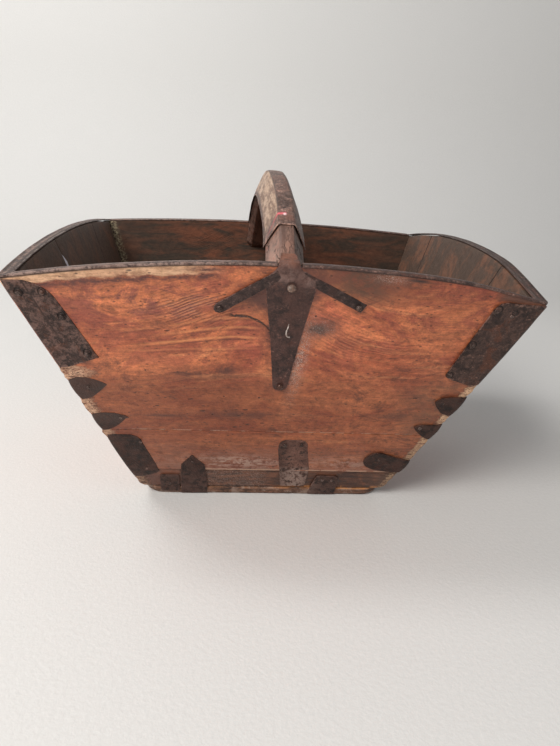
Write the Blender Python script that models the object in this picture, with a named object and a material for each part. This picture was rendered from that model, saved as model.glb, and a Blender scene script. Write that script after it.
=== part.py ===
"""Flared wooden carrying basket with iron fittings and a fixed arched handle.

Metres, +Z up. The origin is on the ground under the middle of the base. X runs along the long
front wall, the front faces -Y. Every wall leans outwards, so a wall's outer face is given by its
distance from the centre at a height: wall_x(z) for the two ends, wall_y(z) for front and back.
Pieces that touch keep a clearance of GAP.
"""
import math

import bmesh
import bpy
from mathutils import Vector

# Driving dimensions
BASE_X = 0.126            # half length of the underside
BASE_Y = 0.091            # half depth of the underside
RIM_X = 0.216             # half length at the rim's corners
RIM_Y = 0.199             # half depth at the rim's corners
CORNER_Z = 0.2475         # height of the walls at the corners
ARCH = {"front": 0.020, "back": 0.0075, "left": 0.011, "right": 0.018}   # rise of each wall's middle

WALL_X = 0.0090           # level thickness of the end walls
WALL_Y = 0.0090           # level thickness of the front and back walls
BASE_T = 0.010            # thickness of the base board
BASE_CORNER = 0.020       # rounding of the base board's corners, in plan
LOWER_JOINT_Z = 0.037     # top of the lower boards
MIDDLE_JOINT_Z = 0.093    # top of the middle boards
LOWER_RECESS = 0.0015     # how far the lower boards' faces stand back
LOWER_CORNER = 0.007      # rounding of the lower boards' bottom corners
STAVE_JOINTS = {"left": (-0.315, 0.50), "right": (-0.555, 0.54)}   # share of the half depth

GAP = 0.0003
SHEET = 0.0015            # corner plates, clips and arms
RIM_T = 0.0018            # rim straps
RIM_OVERHANG = 0.0012     # how far the rim straps stand out over the walls' faces

HANDLE_SKEW = -0.013      # the handle crosses the basket a little askew: x over y
HANDLE_FOOT_Y = -0.200    # where it crosses the middle plane
HANDLE_W = 0.031
HANDLE_T = 0.030
TOP_CHAMFER = (0.0102, 0.021)      # across and down: the upper edges are cut away steeply
LOW_CHAMFER = (0.006, 0.006)
HANDLE_TOP_Z = 0.3298     # highest point of the handle's top face
HANDLE_TOP_Y = -0.035     # where that highest point is
HANDLE_END_Z = {-1: 0.271, 1: 0.252}    # height of the top face at the front and back ends
SLEEVE_Y = (-0.1645, 0.140)              # where the sleeve starts and ends
SLEEVE_T = 0.0009
SLEEVE_ARCH = (           # the sheet's inner face: across, down from the handle's top face
    (0.0173, 0.0240), (0.0139, 0.0148), (0.0102, 0.0064), (0.0081, 0.0018), (0.0065, -0.0006),
    (0.0030, -0.0009))

BRACKET_X = 0.004
BRACKET_T = 0.0022
BRACKET_OUTLINE = (       # height, half width: from the rim down to the point
    (0.2620, 0.0130), (0.2560, 0.0198), (0.2470, 0.0193), (0.2205, 0.0155),
    (0.2015, 0.0125), (0.1695, 0.0085), (0.1525, 0.0066), (0.1480, 0.0045), (0.1462, 0.0018))
TONGUE_X = 0.001          # the tongue is bent a little towards the handle
TONGUE_HALF_W = 0.0062
TONGUE_L = 0.0055         # length of the tongue that lies on the handle
RIVET_Z = 0.2518
STRAP_STARTS = (-0.037, 0.049)     # share of the half length at which the front's two straps start
STRAP_STOP = 1.0 - (WALL_X + 2 * GAP) / RIM_X      # and at which they meet the end straps
ARM_HALF_W = 0.0042
ARM_NAILS = {"left": (-0.0508, 0.2305), "right": (0.0598, 0.2352)}
ARMS = {"left": ((-0.0166, 0.2555), (-0.0548, 0.2285)), "right": ((0.0246, 0.2525), (0.0637, 0.2335))}

COLOURS = {               # base colour, roughness, metallic
    "front_wood": ((0.30, 0.105, 0.040, 1.0), 0.50, 0.0),
    "end_wood": ((0.13, 0.065, 0.038, 1.0), 0.65, 0.0),
    "base_wood": ((0.20, 0.085, 0.040, 1.0), 0.65, 0.0),
    "handle_wood": ((0.21, 0.120, 0.078, 1.0), 0.55, 0.0),
    "iron": ((0.060, 0.038, 0.034, 1.0), 0.55, 0.6),
    "rim_iron": ((0.140, 0.085, 0.068, 1.0), 0.50, 0.5),
    "nail_iron": ((0.110, 0.080, 0.070, 1.0), 0.45, 0.7),
}


def wall_x(z):
    return BASE_X + (RIM_X - BASE_X) * z / CORNER_Z


def wall_y(z):
    return BASE_Y + (RIM_Y - BASE_Y) * z / CORNER_Z


def rim_z(wall, share):
    """Height of a wall's top edge; share runs from -1 to 1 between its corners."""
    return CORNER_Z + ARCH[wall] * (1.0 - share * share)


def steps(start, stop, count):
    return [start + (stop - start) * i / count for i in range(count + 1)]


def arc(cx, cz, radius, start, stop, count):
    """Points on an arc in the plane of an outline, angles in degrees."""
    return [(cx + radius * math.cos(math.radians(a)), cz + radius * math.sin(math.radians(a)))
            for a in steps(start, stop, count)]


def material(slot):
    found = bpy.data.materials.get(slot)
    if found:
        return found
    colour, roughness, metallic = COLOURS[slot]
    made = bpy.data.materials.new(slot)
    made.use_nodes = True
    shader = made.node_tree.nodes["Principled BSDF"]
    shader.inputs["Base Color"].default_value = colour
    shader.inputs["Roughness"].default_value = roughness
    shader.inputs["Metallic"].default_value = metallic
    return made


def add_object(name, bm, slot):
    bmesh.ops.recalc_face_normals(bm, faces=bm.faces)
    mesh = bpy.data.meshes.new(name)
    bm.to_mesh(mesh)
    bm.free()
    mesh.materials.append(material(slot))
    made = bpy.data.objects.new(name, mesh)
    bpy.context.scene.collection.objects.link(made)
    return made


def loft(bm, rings):
    """Skin between rings of equal length, with a cap on each end."""
    loops = [[bm.verts.new(p) for p in ring] for ring in rings]
    count = len(loops[0])
    bm.faces.new(loops[0][::-1])
    bm.faces.new(loops[-1])
    for a, b in zip(loops, loops[1:]):
        for i in range(count):
            j = (i + 1) % count
            bm.faces.new((a[i], a[j], b[j], b[i]))


def solid(name, rings, slot):
    bm = bmesh.new()
    loft(bm, rings)
    return add_object(name, bm, slot)


# Walls

def long_board(name, side, outline, recess=0.0):
    """A front (side -1) or back (+1) board from its outline in x and z."""
    outer = [(x, side * (wall_y(z) - recess), z) for x, z in outline]
    inner = [(x, side * (wall_y(z) - WALL_Y), z) for x, z in outline]
    return solid(name, (outer, inner), "front_wood")


def long_wall(wall, side):
    top = []
    for share in steps(1.0, -1.0, 20):
        z = rim_z(wall, share)
        top.append((share * wall_x(z), z))
    low = MIDDLE_JOINT_Z + GAP
    long_board(wall + "_upper_board", side, [(-wall_x(low), low), (wall_x(low), low)] + top)

    low, high = LOWER_JOINT_Z + GAP, MIDDLE_JOINT_Z
    long_board(wall + "_middle_board", side,
               [(-wall_x(low), low), (wall_x(low), low), (wall_x(high), high), (-wall_x(high), high)])

    low, high = BASE_T + GAP, LOWER_JOINT_Z
    lean = math.degrees(math.atan2(CORNER_Z, RIM_X - BASE_X))
    centre_z = low + LOWER_CORNER
    centre_x = wall_x(centre_z) - LOWER_CORNER / math.sin(math.radians(lean))
    right = arc(centre_x, centre_z, LOWER_CORNER, -90, lean - 90, 5)
    right.append((wall_x(high), high))
    left = [(-x, z) for x, z in reversed(right)]
    long_board(wall + "_lower_board", side, right + left, LOWER_RECESS)


def end_wall(wall, side):
    """Three staves between the long walls; each runs from the base board to the rim."""
    low = BASE_T + GAP
    cuts = (-1.0,) + STAVE_JOINTS[wall] + (1.0,)
    for label, start, stop in zip(("front", "middle", "back"), cuts, cuts[1:]):
        outline = []
        for share in steps(stop, start, 8):
            outline.append((share, rim_z(wall, share)))
        outline += [(start, low), (stop, low)]
        rings = []
        for depth in (0.0, WALL_X):
            ring = []
            for share, z in outline:
                half = wall_y(z) - WALL_Y - GAP
                inset = GAP if share in STAVE_JOINTS[wall] and share == start else 0.0
                ring.append((side * (wall_x(z) - depth), share * half + inset, z))
            rings.append(ring)
        solid(wall + "_end_" + label + "_stave", rings, "end_wood")


def base_board():
    rings = []
    for z in (0.0, BASE_T):
        half_x, half_y = wall_x(z), wall_y(z)
        ring = []
        for turn, sx, sy in ((0, 1, 1), (90, -1, 1), (180, -1, -1), (270, 1, -1)):
            cx, cy = sx * (half_x - BASE_CORNER), sy * (half_y - BASE_CORNER)
            ring += [(x, y, z) for x, y in arc(cx, cy, BASE_CORNER, turn, turn + 90, 6)]
        rings.append(ring)
    solid("base_board", rings, "base_wood")


# Rim straps

def long_strap(name, wall, side, start, stop):
    rings = []
    for share in steps(start, stop, 12):
        z = rim_z(wall, share) + GAP
        x = share * wall_x(z)
        near = side * (wall_y(z) + RIM_OVERHANG)
        far = side * (wall_y(z) - WALL_Y)
        rings.append([(x, near, z), (x, far, z), (x, far, z + RIM_T), (x, near, z + RIM_T)])
    solid(name, rings, "rim_iron")


def end_strap(name, wall, side):
    """Runs over the corners; there its inner edge rises on to the long walls' arched tops."""
    rings = []
    for share in steps(-1.0, 1.0, 40):
        z = rim_z(wall, share) + GAP
        y = share * (wall_y(z) + RIM_OVERHANG)
        near = side * (wall_x(z) + RIM_OVERHANG)
        far = side * (wall_x(z) - WALL_X)
        far_z = z
        if abs(y) > wall_y(z) - WALL_Y - 2 * GAP:
            far_z = max(z, rim_z("front" if y < 0 else "back", STRAP_STOP) + GAP)
        rings.append([(near, y, z), (far, y, far_z), (far, y, far_z + RIM_T), (near, y, z + RIM_T)])
    solid(name, rings, "rim_iron")


# Sheet iron on the corners and along the bottom edge

def face_point(sx, sy, x_stand, y_stand, w_x, w_y, z):
    """A point w_x or w_y in from a corner, standing off the end and long walls."""
    return (sx * (wall_x(z) + x_stand - w_x), sy * (wall_y(z) + y_stand - w_y), z)


def corner_sheet(name, sx, sy, long_outline, end_outline):
    """Sheet bent round a corner. Both outlines are (distance from the corner, height) lists that
    start at the top of the bend and end at its bottom."""
    top_z, bottom_z = long_outline[0][1], long_outline[-1][1]

    def skin(bm, stand):
        bend = [bm.verts.new(face_point(sx, sy, stand, stand, 0, 0, z)) for z in (top_z, bottom_z)]
        front = [bm.verts.new(face_point(sx, sy, stand, stand, w, 0, z)) for w, z in long_outline[1:-1]]
        end = [bm.verts.new(face_point(sx, sy, stand, stand, 0, w, z)) for w, z in end_outline[1:-1]]
        bm.faces.new([bend[0]] + front + [bend[1]])
        bm.faces.new([bend[1]] + end[::-1] + [bend[0]])
        return [bend[0]] + front + [bend[1]] + end[::-1]

    bm = bmesh.new()
    inner = skin(bm, GAP)
    outer = skin(bm, GAP + SHEET)
    count = len(inner)
    for i in range(count):
        j = (i + 1) % count
        bm.faces.new((inner[i], inner[j], outer[j], outer[i]))
    return add_object(name, bm, "iron")


def flat_sheet(name, side, outline, thickness=SHEET, slot="iron"):
    """A flat plate on the front or back wall from its outline in x and z."""
    rings = []
    for stand in (GAP, GAP + thickness):
        rings.append([(x, side * (wall_y(z) + stand), z) for x, z in outline])
    return solid(name, rings, slot)


LEFT_SHEETS = {           # on the front wall's left corner
    "corner_plate": [(0.000, 0.246), (0.020, 0.2465), (0.028, 0.242), (0.033, 0.236), (0.039, 0.177),
                     (0.000, 0.165)],
    "upper_clip": [(0.000, 0.152), (0.010, 0.155), (0.024, 0.153), (0.031, 0.149), (0.005, 0.130),
                   (0.000, 0.131)],
    "middle_clip": [(0.000, 0.113), (0.023, 0.114), (0.032, 0.110), (0.014, 0.094), (0.004, 0.092),
                    (0.000, 0.093)],
    "lower_clip": [(0.000, 0.084), (0.030, 0.086), (0.028, 0.033), (0.005, 0.026), (0.000, 0.027)],
}
RIGHT_SHEETS = {          # on the front wall's right corner
    "corner_plate": [(0.000, 0.2465), (0.040, 0.2475), (0.041, 0.236), (0.037, 0.169), (0.005, 0.159),
                     (0.000, 0.160)],
    "upper_clip": [(0.000, 0.144), (0.023, 0.1415), (0.025, 0.136), (0.003, 0.122), (0.000, 0.122)],
    "middle_clip": [(0.000, 0.109), (0.024, 0.1065), (0.021, 0.1025), (0.004, 0.090), (0.000, 0.090)],
    "lower_clip": [(0.000, 0.057), (0.038, 0.068), (0.046, 0.065), (0.0475, 0.058), (0.043, 0.050),
                   (0.033, 0.044), (0.000, 0.040)],
}
END_REACH = {"corner_plate": 0.036, "upper_clip": 0.026, "middle_clip": 0.026, "lower_clip": 0.028}


def end_wing(long_outline, reach):
    """The wing on the end wall: a plain tab with clipped corners, as high as the bend."""
    top_z, bottom_z = long_outline[0][1], long_outline[-1][1]
    clip = 0.2 * (top_z - bottom_z)
    return [(0.0, top_z), (0.8 * reach, top_z), (reach, top_z - clip),
            (reach, bottom_z + clip), (0.8 * reach, bottom_z), (0.0, bottom_z)]


def corners():
    """The back corners repeat the front ones, turned half round."""
    for wall, sy in (("front", -1), ("back", 1)):
        for end, sx in (("left", -1), ("right", 1)):
            sheets = LEFT_SHEETS if sx == sy else RIGHT_SHEETS
            for kind, outline in sheets.items():
                corner_sheet(wall + "_" + end + "_" + kind, sx, sy, outline,
                             end_wing(outline, END_REACH[kind]))


def bottom_clips():
    low = 0.0006          # just clear of the ground
    square = [(-0.109, 0.009), (-0.0895, low + 0.003), (-0.0895, 0.029), (-0.109, 0.0285)]
    pointed = [(-0.0875, low), (-0.0605, low), (-0.0630, 0.045), (-0.0760, 0.059), (-0.0870, 0.044)]
    rounding = 0.008
    long_top = arc(0.031, 0.075, rounding, 0, 90, 4) + arc(0.017, 0.075, rounding, 90, 180, 4)
    long_clip = [(0.016, 0.013), (0.043, 0.014), (0.044, 0.044)] + long_top + [(0.013, 0.044)]
    tapered = [(0.048, low), (0.076, low), (0.078, 0.026), (0.075, 0.0295), (0.053, 0.030)]
    flat_sheet("front_square_clip", -1, square)
    flat_sheet("front_pointed_clip", -1, pointed)
    flat_sheet("front_long_clip", -1, long_clip)
    flat_sheet("front_tapered_clip", -1, tapered)
    for name, outline in (("back_pointed_clip", pointed), ("back_long_clip", long_clip),
                          ("back_tapered_clip", tapered)):
        flat_sheet(name, 1, [(-x, z) for x, z in outline])


# Handle

def handle_top(y):
    """Height and slope of the handle's top face: two parabolas that meet at its highest point."""
    side = -1 if y < HANDLE_TOP_Y else 1
    end_z = HANDLE_END_Z[side]
    reach = handle_end_y(side) - HANDLE_TOP_Y
    fall = (HANDLE_TOP_Z - end_z) / (reach * reach)
    offset = y - HANDLE_TOP_Y
    return HANDLE_TOP_Z - fall * offset * offset, -2.0 * fall * offset


def handle_end_y(side):
    """Where the handle's top face meets the inner face of the front or back wall."""
    return side * (wall_y(HANDLE_END_Z[side]) - WALL_Y - GAP)


def handle_frame(y):
    """A point on the handle's top face, and the downward normal there."""
    z, slope = handle_top(y)
    length = math.hypot(1.0, slope)
    return Vector((HANDLE_SKEW * (y - HANDLE_FOOT_Y), y, z)), Vector((0.0, slope / length, -1.0 / length))


def handle_section():
    """Eight-sided section: (across, down) from the middle of the top face."""
    half = HANDLE_W / 2
    top_across, top_down = TOP_CHAMFER
    low_across, low_down = LOW_CHAMFER
    right = [(half - top_across, 0), (half, top_down), (half, HANDLE_T - low_down), (half - low_across, HANDLE_T)]
    return right + [(-across, down) for across, down in reversed(right)]


def handle():
    """The ends are cut to lie flat against the inner faces of the walls."""
    section = handle_section()
    rings = []
    for y in steps(handle_end_y(-1), handle_end_y(1), 28):
        start, normal = handle_frame(y)
        ring = []
        for across, down in section:
            point = start + normal * down + Vector((across, 0, 0))
            ring.append(point)
        rings.append(ring)
    for side, index in ((-1, 0), (1, -1)):
        neighbour = rings[1 if side < 0 else -2]
        for i, point in enumerate(rings[index]):
            run = point - neighbour[i]
            lean = (RIM_Y - BASE_Y) / CORNER_Z
            limit = wall_y(neighbour[i].z) - WALL_Y - GAP
            travel = (limit - side * neighbour[i].y) / (side * run.y - lean * run.z)
            rings[index][i] = neighbour[i] + run * travel
    solid("handle", rings, "handle_wood")


def sleeve():
    """Sheet bent over the top of the handle, standing clear of the cut-away edges."""
    right = SLEEVE_ARCH
    inner = list(right) + [(-across, down) for across, down in reversed(right)]
    outer = []
    for across, down in inner:
        out = math.copysign(SLEEVE_T, across) if down > 0 else 0.0
        up = SLEEVE_T if down < right[1][1] else 0.0
        outer.append((across + out, down - up))
    rings = []
    for y in steps(SLEEVE_Y[0], SLEEVE_Y[1], 18):
        start, normal = handle_frame(y)
        rings.append([start + normal * down + Vector((across, 0, 0)) for across, down in outer + inner[::-1]])
    solid("handle_sleeve", rings, "iron")


# Brackets and arms

def bracket(wall, side):
    """A tapered plate on the wall whose tongue bends over the rim and lies on the handle."""
    end_z = HANDLE_END_Z[side]
    top_z = rim_z(wall, 0.0)
    rings = []

    def ring(half, inner, outer, middle=BRACKET_X):
        centre = -side * middle
        rings.append([(centre - half, inner[0], inner[1]), (centre + half, inner[0], inner[1]),
                      (centre + half, outer[0], outer[1]), (centre - half, outer[0], outer[1])])

    for z, half in reversed(BRACKET_OUTLINE):
        z += top_z - rim_z("front", 0.0)
        ring(half, (side * (wall_y(z) + GAP), z), (side * (wall_y(z) + GAP + BRACKET_T), z))

    # over the rim: the bend passes outside the top edge of the wall
    neck = TONGUE_HALF_W + 0.0015
    edge_y, edge_z = wall_y(top_z), top_z
    ring(neck, (side * (edge_y + GAP), edge_z - 0.001),
         (side * (edge_y + GAP + BRACKET_T), edge_z - 0.001), TONGUE_X)
    ring(neck, (side * (edge_y + GAP), edge_z + GAP),
         (side * (edge_y + GAP + 0.7 * BRACKET_T), edge_z + GAP + 0.8 * BRACKET_T), TONGUE_X)

    foot_y = handle_end_y(side)
    rise_z = max(end_z, top_z) + GAP
    ring(TONGUE_HALF_W, (foot_y, rise_z), (foot_y + side * 0.3 * BRACKET_T, rise_z + BRACKET_T), TONGUE_X)
    for reach in (0.5, 1.0):
        y = foot_y - side * reach * TONGUE_L
        start, normal = handle_frame(y)
        inner, outer = start - normal * GAP, start - normal * (GAP + BRACKET_T)
        ring(TONGUE_HALF_W, (inner.y, inner.z), (outer.y, outer.z), TONGUE_X)
    solid(wall + "_bracket", rings, "iron")


def arms(wall, side):
    shift = rim_z(wall, 0.0) - rim_z("front", 0.0)
    for end, ((x0, z0), (x1, z1)) in ARMS.items():
        dx, dz = x1 - x0, z1 - z0
        length = math.hypot(dx, dz)
        nx, nz = -dz / length * ARM_HALF_W, dx / length * ARM_HALF_W
        outline = [(x0, z0 - abs(nz) * 1.15), (x1 - nx, z1 - nz), (x1 + nx, z1 + nz), (x0, z0 + abs(nz) * 1.15)]
        if dx < 0:
            outline[1], outline[2] = outline[2], outline[1]
        outline = [(x if side < 0 else -x, z + shift) for x, z in outline]
        label = end if side < 0 else {"left": "right", "right": "left"}[end]
        flat_sheet(wall + "_" + label + "_arm", side, outline)


# Nails

def dome(bm, centre, normal, radius, height):
    """A closed nail head: a flat back, a short side and a low dome."""
    normal = normal.normalized()
    side_a = normal.orthogonal().normalized()
    side_b = normal.cross(side_a)
    count = 10
    rings = []
    for share, up in ((1.0, 0.0), (1.0, 0.35), (0.75, 0.8), (0.3, 1.0)):
        rings.append([centre + normal * (height * up)
                      + (side_a * math.cos(2 * math.pi * i / count)
                         + side_b * math.sin(2 * math.pi * i / count)) * (radius * share)
                      for i in range(count)])
    loft(bm, rings)


def wall_normal(side):
    return Vector((0.0, side * CORNER_Z, -(RIM_Y - BASE_Y)))


def nail(name, side, x, z, radius, height, stand):
    """A nail or rivet head on the front or back wall."""
    normal = wall_normal(side)
    centre = Vector((x, side * wall_y(z), z)) + normal.normalized() * stand
    bm = bmesh.new()
    dome(bm, centre, normal, radius, height)
    return add_object(name, bm, "nail_iron")


def nails(wall, side):
    """Each arm has a nail at its end; the bracket has a domed rivet above and a nail at its point."""
    drop = rim_z(wall, 0.0) - rim_z("front", 0.0)
    on_bracket = BRACKET_T + 2 * GAP
    for end, (x, z) in ARM_NAILS.items():
        label = end if side < 0 else {"left": "right", "right": "left"}[end]
        nail(wall + "_" + label + "_arm_nail", side, -side * x, z + drop, 0.0026, 0.0014, SHEET + 2 * GAP)
    nail(wall + "_bracket_nail", side, -side * BRACKET_X, 0.1525 + drop, 0.0030, 0.0014, on_bracket)
    nail(wall + "_bracket_rivet", side, -side * BRACKET_X, RIVET_Z + drop, 0.0036, 0.0026, on_bracket)


def bent_nail():
    """A wire nail driven into the front bracket and bent over downwards."""
    normal = wall_normal(-1).normalized()
    down = Vector((0.0, (RIM_Y - BASE_Y), -CORNER_Z)).normalized()
    z = 0.2190
    start = Vector((BRACKET_X + 0.0005, -wall_y(z), z)) + normal * (BRACKET_T + 2 * GAP)
    route = [(0.0000, 0.0000, 0.0000), (0.0002, 0.0032, 0.0012), (0.0010, 0.0046, 0.0050),
             (0.0022, 0.0042, 0.0095), (0.0038, 0.0030, 0.0135), (0.0030, 0.0024, 0.0165)]
    rings = []
    for i, (across, out, drop) in enumerate(route):
        centre = start + Vector((across, 0, 0)) + normal * out + down * drop
        before = route[max(i - 1, 0)]
        after = route[min(i + 1, len(route) - 1)]
        along = (Vector((after[0] - before[0], 0, 0)) + normal * (after[1] - before[1])
                 + down * (after[2] - before[2])).normalized()
        side_a = Vector((1, 0, 0)) - along * along.x
        side_a = side_a.normalized()
        side_b = along.cross(side_a)
        radius = 0.0009 if i < len(route) - 1 else 0.0005
        rings.append([centre + (side_a * math.cos(math.pi * k / 3) + side_b * math.sin(math.pi * k / 3)) * radius
                      for k in range(6)])
    solid("bent_nail", rings, "nail_iron")


def main():
    for old in list(bpy.data.objects):
        bpy.data.objects.remove(old, do_unlink=True)
    base_board()
    for wall, side in (("front", -1), ("back", 1)):
        long_wall(wall, side)
        left_start, right_start = STRAP_STARTS if side < 0 else (-STRAP_STARTS[1], -STRAP_STARTS[0])
        long_strap(wall + "_left_rim_strap", wall, side, -STRAP_STOP, left_start)
        long_strap(wall + "_right_rim_strap", wall, side, right_start, STRAP_STOP)
        bracket(wall, side)
        arms(wall, side)
        nails(wall, side)
    for wall, side in (("left", -1), ("right", 1)):
        end_wall(wall, side)
        end_strap(wall + "_end_rim_strap", wall, side)
    corners()
    bottom_clips()
    handle()
    sleeve()
    bent_nail()


main()
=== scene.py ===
"""Looks of the flared wooden basket: worn boards, forged sheet iron and a bent handle.

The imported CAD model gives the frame. Each visible CAD node is replaced by a piece with worn edges,
dents and a procedural material, in the same place and at the same size.
"""
import math

import bmesh
import bpy
from mathutils import Matrix, Vector, noise


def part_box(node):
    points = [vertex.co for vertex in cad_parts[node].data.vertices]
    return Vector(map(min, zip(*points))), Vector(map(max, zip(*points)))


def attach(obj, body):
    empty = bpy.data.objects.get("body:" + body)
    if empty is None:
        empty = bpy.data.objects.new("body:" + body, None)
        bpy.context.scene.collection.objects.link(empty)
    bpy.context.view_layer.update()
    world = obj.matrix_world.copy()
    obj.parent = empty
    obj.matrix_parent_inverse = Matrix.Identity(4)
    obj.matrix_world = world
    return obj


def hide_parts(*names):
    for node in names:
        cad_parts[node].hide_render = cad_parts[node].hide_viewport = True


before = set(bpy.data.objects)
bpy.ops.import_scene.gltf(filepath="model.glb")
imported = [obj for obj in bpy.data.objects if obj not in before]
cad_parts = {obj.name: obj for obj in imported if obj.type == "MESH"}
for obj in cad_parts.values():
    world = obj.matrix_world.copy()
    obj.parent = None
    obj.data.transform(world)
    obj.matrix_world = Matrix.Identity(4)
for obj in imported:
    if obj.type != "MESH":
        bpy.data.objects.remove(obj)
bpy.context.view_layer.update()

# Driving dimensions, in metres; every wall leans outwards
BASE_X, BASE_Y = 0.126, 0.091
RIM_X, RIM_Y = 0.216, 0.199
CORNER_Z = 0.2475
ARCH = {"front": 0.020, "back": 0.0075, "left": 0.011, "right": 0.018}
LONG_WALLS = (("front", -1), ("back", 1))
END_WALLS = (("left", -1), ("right", 1))
WALL = 0.0090             # level thickness of all four walls
STAVE_JOINTS = {"left": (-0.315, 0.50), "right": (-0.555, 0.54)}
LOWER_RECESS = 0.0015
HANDLE_TOP_Y = -0.035
HANDLE_SKEW, HANDLE_FOOT_Y = -0.013, -0.200   # its centre line, x over y, and where x is 0
HANDLE_W, HANDLE_T = 0.031, 0.030
HANDLE_END_Z = {-1: 0.271, 1: 0.252}
BRACKET_X = 0.004
TONGUE_X = 0.001
STRAP_STARTS = (-0.037, 0.049)

BASE_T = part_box("base_board")[1].z
LOWER_JOINT_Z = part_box("front_lower_board")[1].z
MIDDLE_JOINT_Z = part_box("front_middle_board")[1].z
HANDLE_TOP_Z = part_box("handle")[1].z
SLEEVE_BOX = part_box("handle_sleeve")
SLEEVE_FRONT_Z = 0.2935   # height of the sleeve's front edge on top

MM = 0.001
BOW, BOW_Y, BOW_REACH = 1.6 * MM, -0.140, 0.045   # the worn handle's sideways sway
SHEET = 1.5 * MM
STAND = 0.3 * MM          # clearance between iron and wood
ON_SHEET = SHEET + STAND
BRACKET_T = 2.2 * MM


def wall_x(z):
    return BASE_X + (RIM_X - BASE_X) * z / CORNER_Z


def wall_y(z):
    return BASE_Y + (RIM_Y - BASE_Y) * z / CORNER_Z


def rim_z(wall, share):
    return CORNER_Z + ARCH[wall] * (1.0 - share * share)


def mm(*rows):
    """Rows of millimetres, in metres."""
    return [tuple(value * MM for value in row) for row in rows]


def steps(start, stop, count):
    return [start + (stop - start) * i / count for i in range(count + 1)]


def steps_through(places, pitch):
    """Steps of about a pitch that meet each of these places."""
    made = []
    for start, stop in zip(places, places[1:]):
        made += steps(start, stop, max(1, round((stop - start) / pitch)))[:-1]
    return made + [places[-1]]


def clamp(value, low=0.0, high=1.0):
    return max(low, min(high, value))


def smooth(value, low, high):
    t = clamp((value - low) / (high - low))
    return t * t * (3.0 - 2.0 * t)


def wobble(point, scale, seed=0.0):
    """Smooth noise between about -1 and 1."""
    return noise.noise(Vector(point) * scale + Vector((seed, 7.3 * seed, -3.1 * seed)))


# ---------------------------------------------------------------- materials

class Value:
    """A number or colour socket that can be used in arithmetic."""

    def __init__(self, graph, socket):
        self.graph, self.socket = graph, socket

    def do(self, operation, *others):
        return self.graph.math(operation, self, *others)

    def __add__(self, other):
        return self.do("ADD", other)

    def __sub__(self, other):
        return self.do("SUBTRACT", other)

    def __rsub__(self, other):
        return self.graph.math("SUBTRACT", other, self)

    def __mul__(self, other):
        return self.do("MULTIPLY", other)

    def __truediv__(self, other):
        return self.do("DIVIDE", other)

    __radd__, __rmul__ = __add__, __mul__

    def abs(self):
        return self.do("ABSOLUTE")

    def max(self, other):
        return self.do("MAXIMUM", other)

    def min(self, other):
        return self.do("MINIMUM", other)

    def smooth(self, low, high):
        """0 at low and 1 at high, level beyond them; low may be the larger one."""
        start = float(low > high)
        inputs = {"Value": self, "From Min": min(low, high), "From Max": max(low, high),
                  "To Min": start, "To Max": 1 - start}
        return self.graph.node("MapRange", inputs, "Result", interpolation_type="SMOOTHSTEP")

    def bell(self, centre, width):
        """1 at centre, falling to 0.37 at width away."""
        away = (self - centre) / width
        return (away * away * -1).do("EXPONENT")

    def layer(self, share, colour):
        """Lays another colour over this one."""
        self.socket = self.graph.mix(share, self, colour).socket

    def shade(self, factor):
        """Makes this colour darker or paler."""
        self.socket = self.graph.node("VectorMath", {0: self, "Scale": factor}, operation="SCALE").socket


class Graph:
    """A material and its node tree; positions are in metres in the object's frame."""

    def __init__(self, name):
        self.material = bpy.data.materials.new(name)
        self.material.use_nodes = True
        self.tree = self.material.node_tree
        self.shader = self.tree.nodes["Principled BSDF"]
        self.place = self.node("TexCoord", {}, "Object")
        split = self.tree.nodes.new("ShaderNodeSeparateXYZ")
        self.feed(self.place, split.inputs[0])
        self.x, self.y, self.z = (Value(self, s) for s in split.outputs)

    def node(self, kind, inputs, output=0, **settings):
        """Adds a node with these settings and inputs, and gives one of its outputs."""
        made = self.tree.nodes.new("ShaderNode" + kind)
        for name, value in settings.items():
            setattr(made, name, value)
        for name, value in inputs.items():
            self.feed(value, made.inputs[name])
        return Value(self, made.outputs[output])

    def feed(self, value, socket):
        if isinstance(value, Value):
            self.tree.links.new(value.socket, socket)
        else:
            socket.default_value = value

    def math(self, operation, *values):
        return self.node("Math", dict(enumerate(values)), operation=operation)

    def vector(self, x, y, z):
        return self.node("CombineXYZ", {0: x, 1: y, 2: z})

    def noise(self, place, scale, detail, rough=0.55, bend=0.0):
        inputs = {"Vector": place, "Scale": scale, "Detail": detail, "Roughness": rough, "Distortion": bend}
        return self.node("TexNoise", inputs, "Fac")

    def grain(self, x, y, z, detail, rough=0.55, bend=0.0):
        """Noise that is stretched as its three coordinates are."""
        return self.noise(self.vector(x, y, z), 1, detail, rough, bend)

    def cells(self, place, scale):
        return self.node("TexVoronoi", {"Vector": place, "Scale": scale}, "Distance")

    def mix(self, share, first, second):
        first, second = (c + (1,) if isinstance(c, tuple) else c for c in (first, second))
        return self.node("Mix", {0: share, 6: first, 7: second}, 2, data_type="RGBA")

    def attribute(self, name):
        return self.node("Attribute", {}, "Fac", attribute_name=name)

    def patch(self, x, reach_x, z, reach_z):
        """A soft round area on a long wall."""
        return self.x.bell(x, reach_x) * self.z.bell(z, reach_z)

    def finish(self, colour, roughness, height, depth, metallic=0.0, shine=0.5):
        self.feed(shine, self.shader.inputs["Specular IOR Level"])
        self.feed(colour, self.shader.inputs["Base Color"])
        self.feed(roughness, self.shader.inputs["Roughness"])
        self.feed(metallic, self.shader.inputs["Metallic"])
        bump = self.node("Bump", {"Strength": 1, "Distance": depth, "Height": height}, "Normal")
        self.feed(bump, self.shader.inputs["Normal"])
        return self.material


def lean_x(g):
    """The outer face of the end walls at a point's height."""
    return g.z * ((RIM_X - BASE_X) / CORNER_Z) + BASE_X


def lean_y(g):
    return g.z * ((RIM_Y - BASE_Y) / CORNER_Z) + BASE_Y


DARK_GRAIN = (0.12, 0.036, 0.022)


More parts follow.
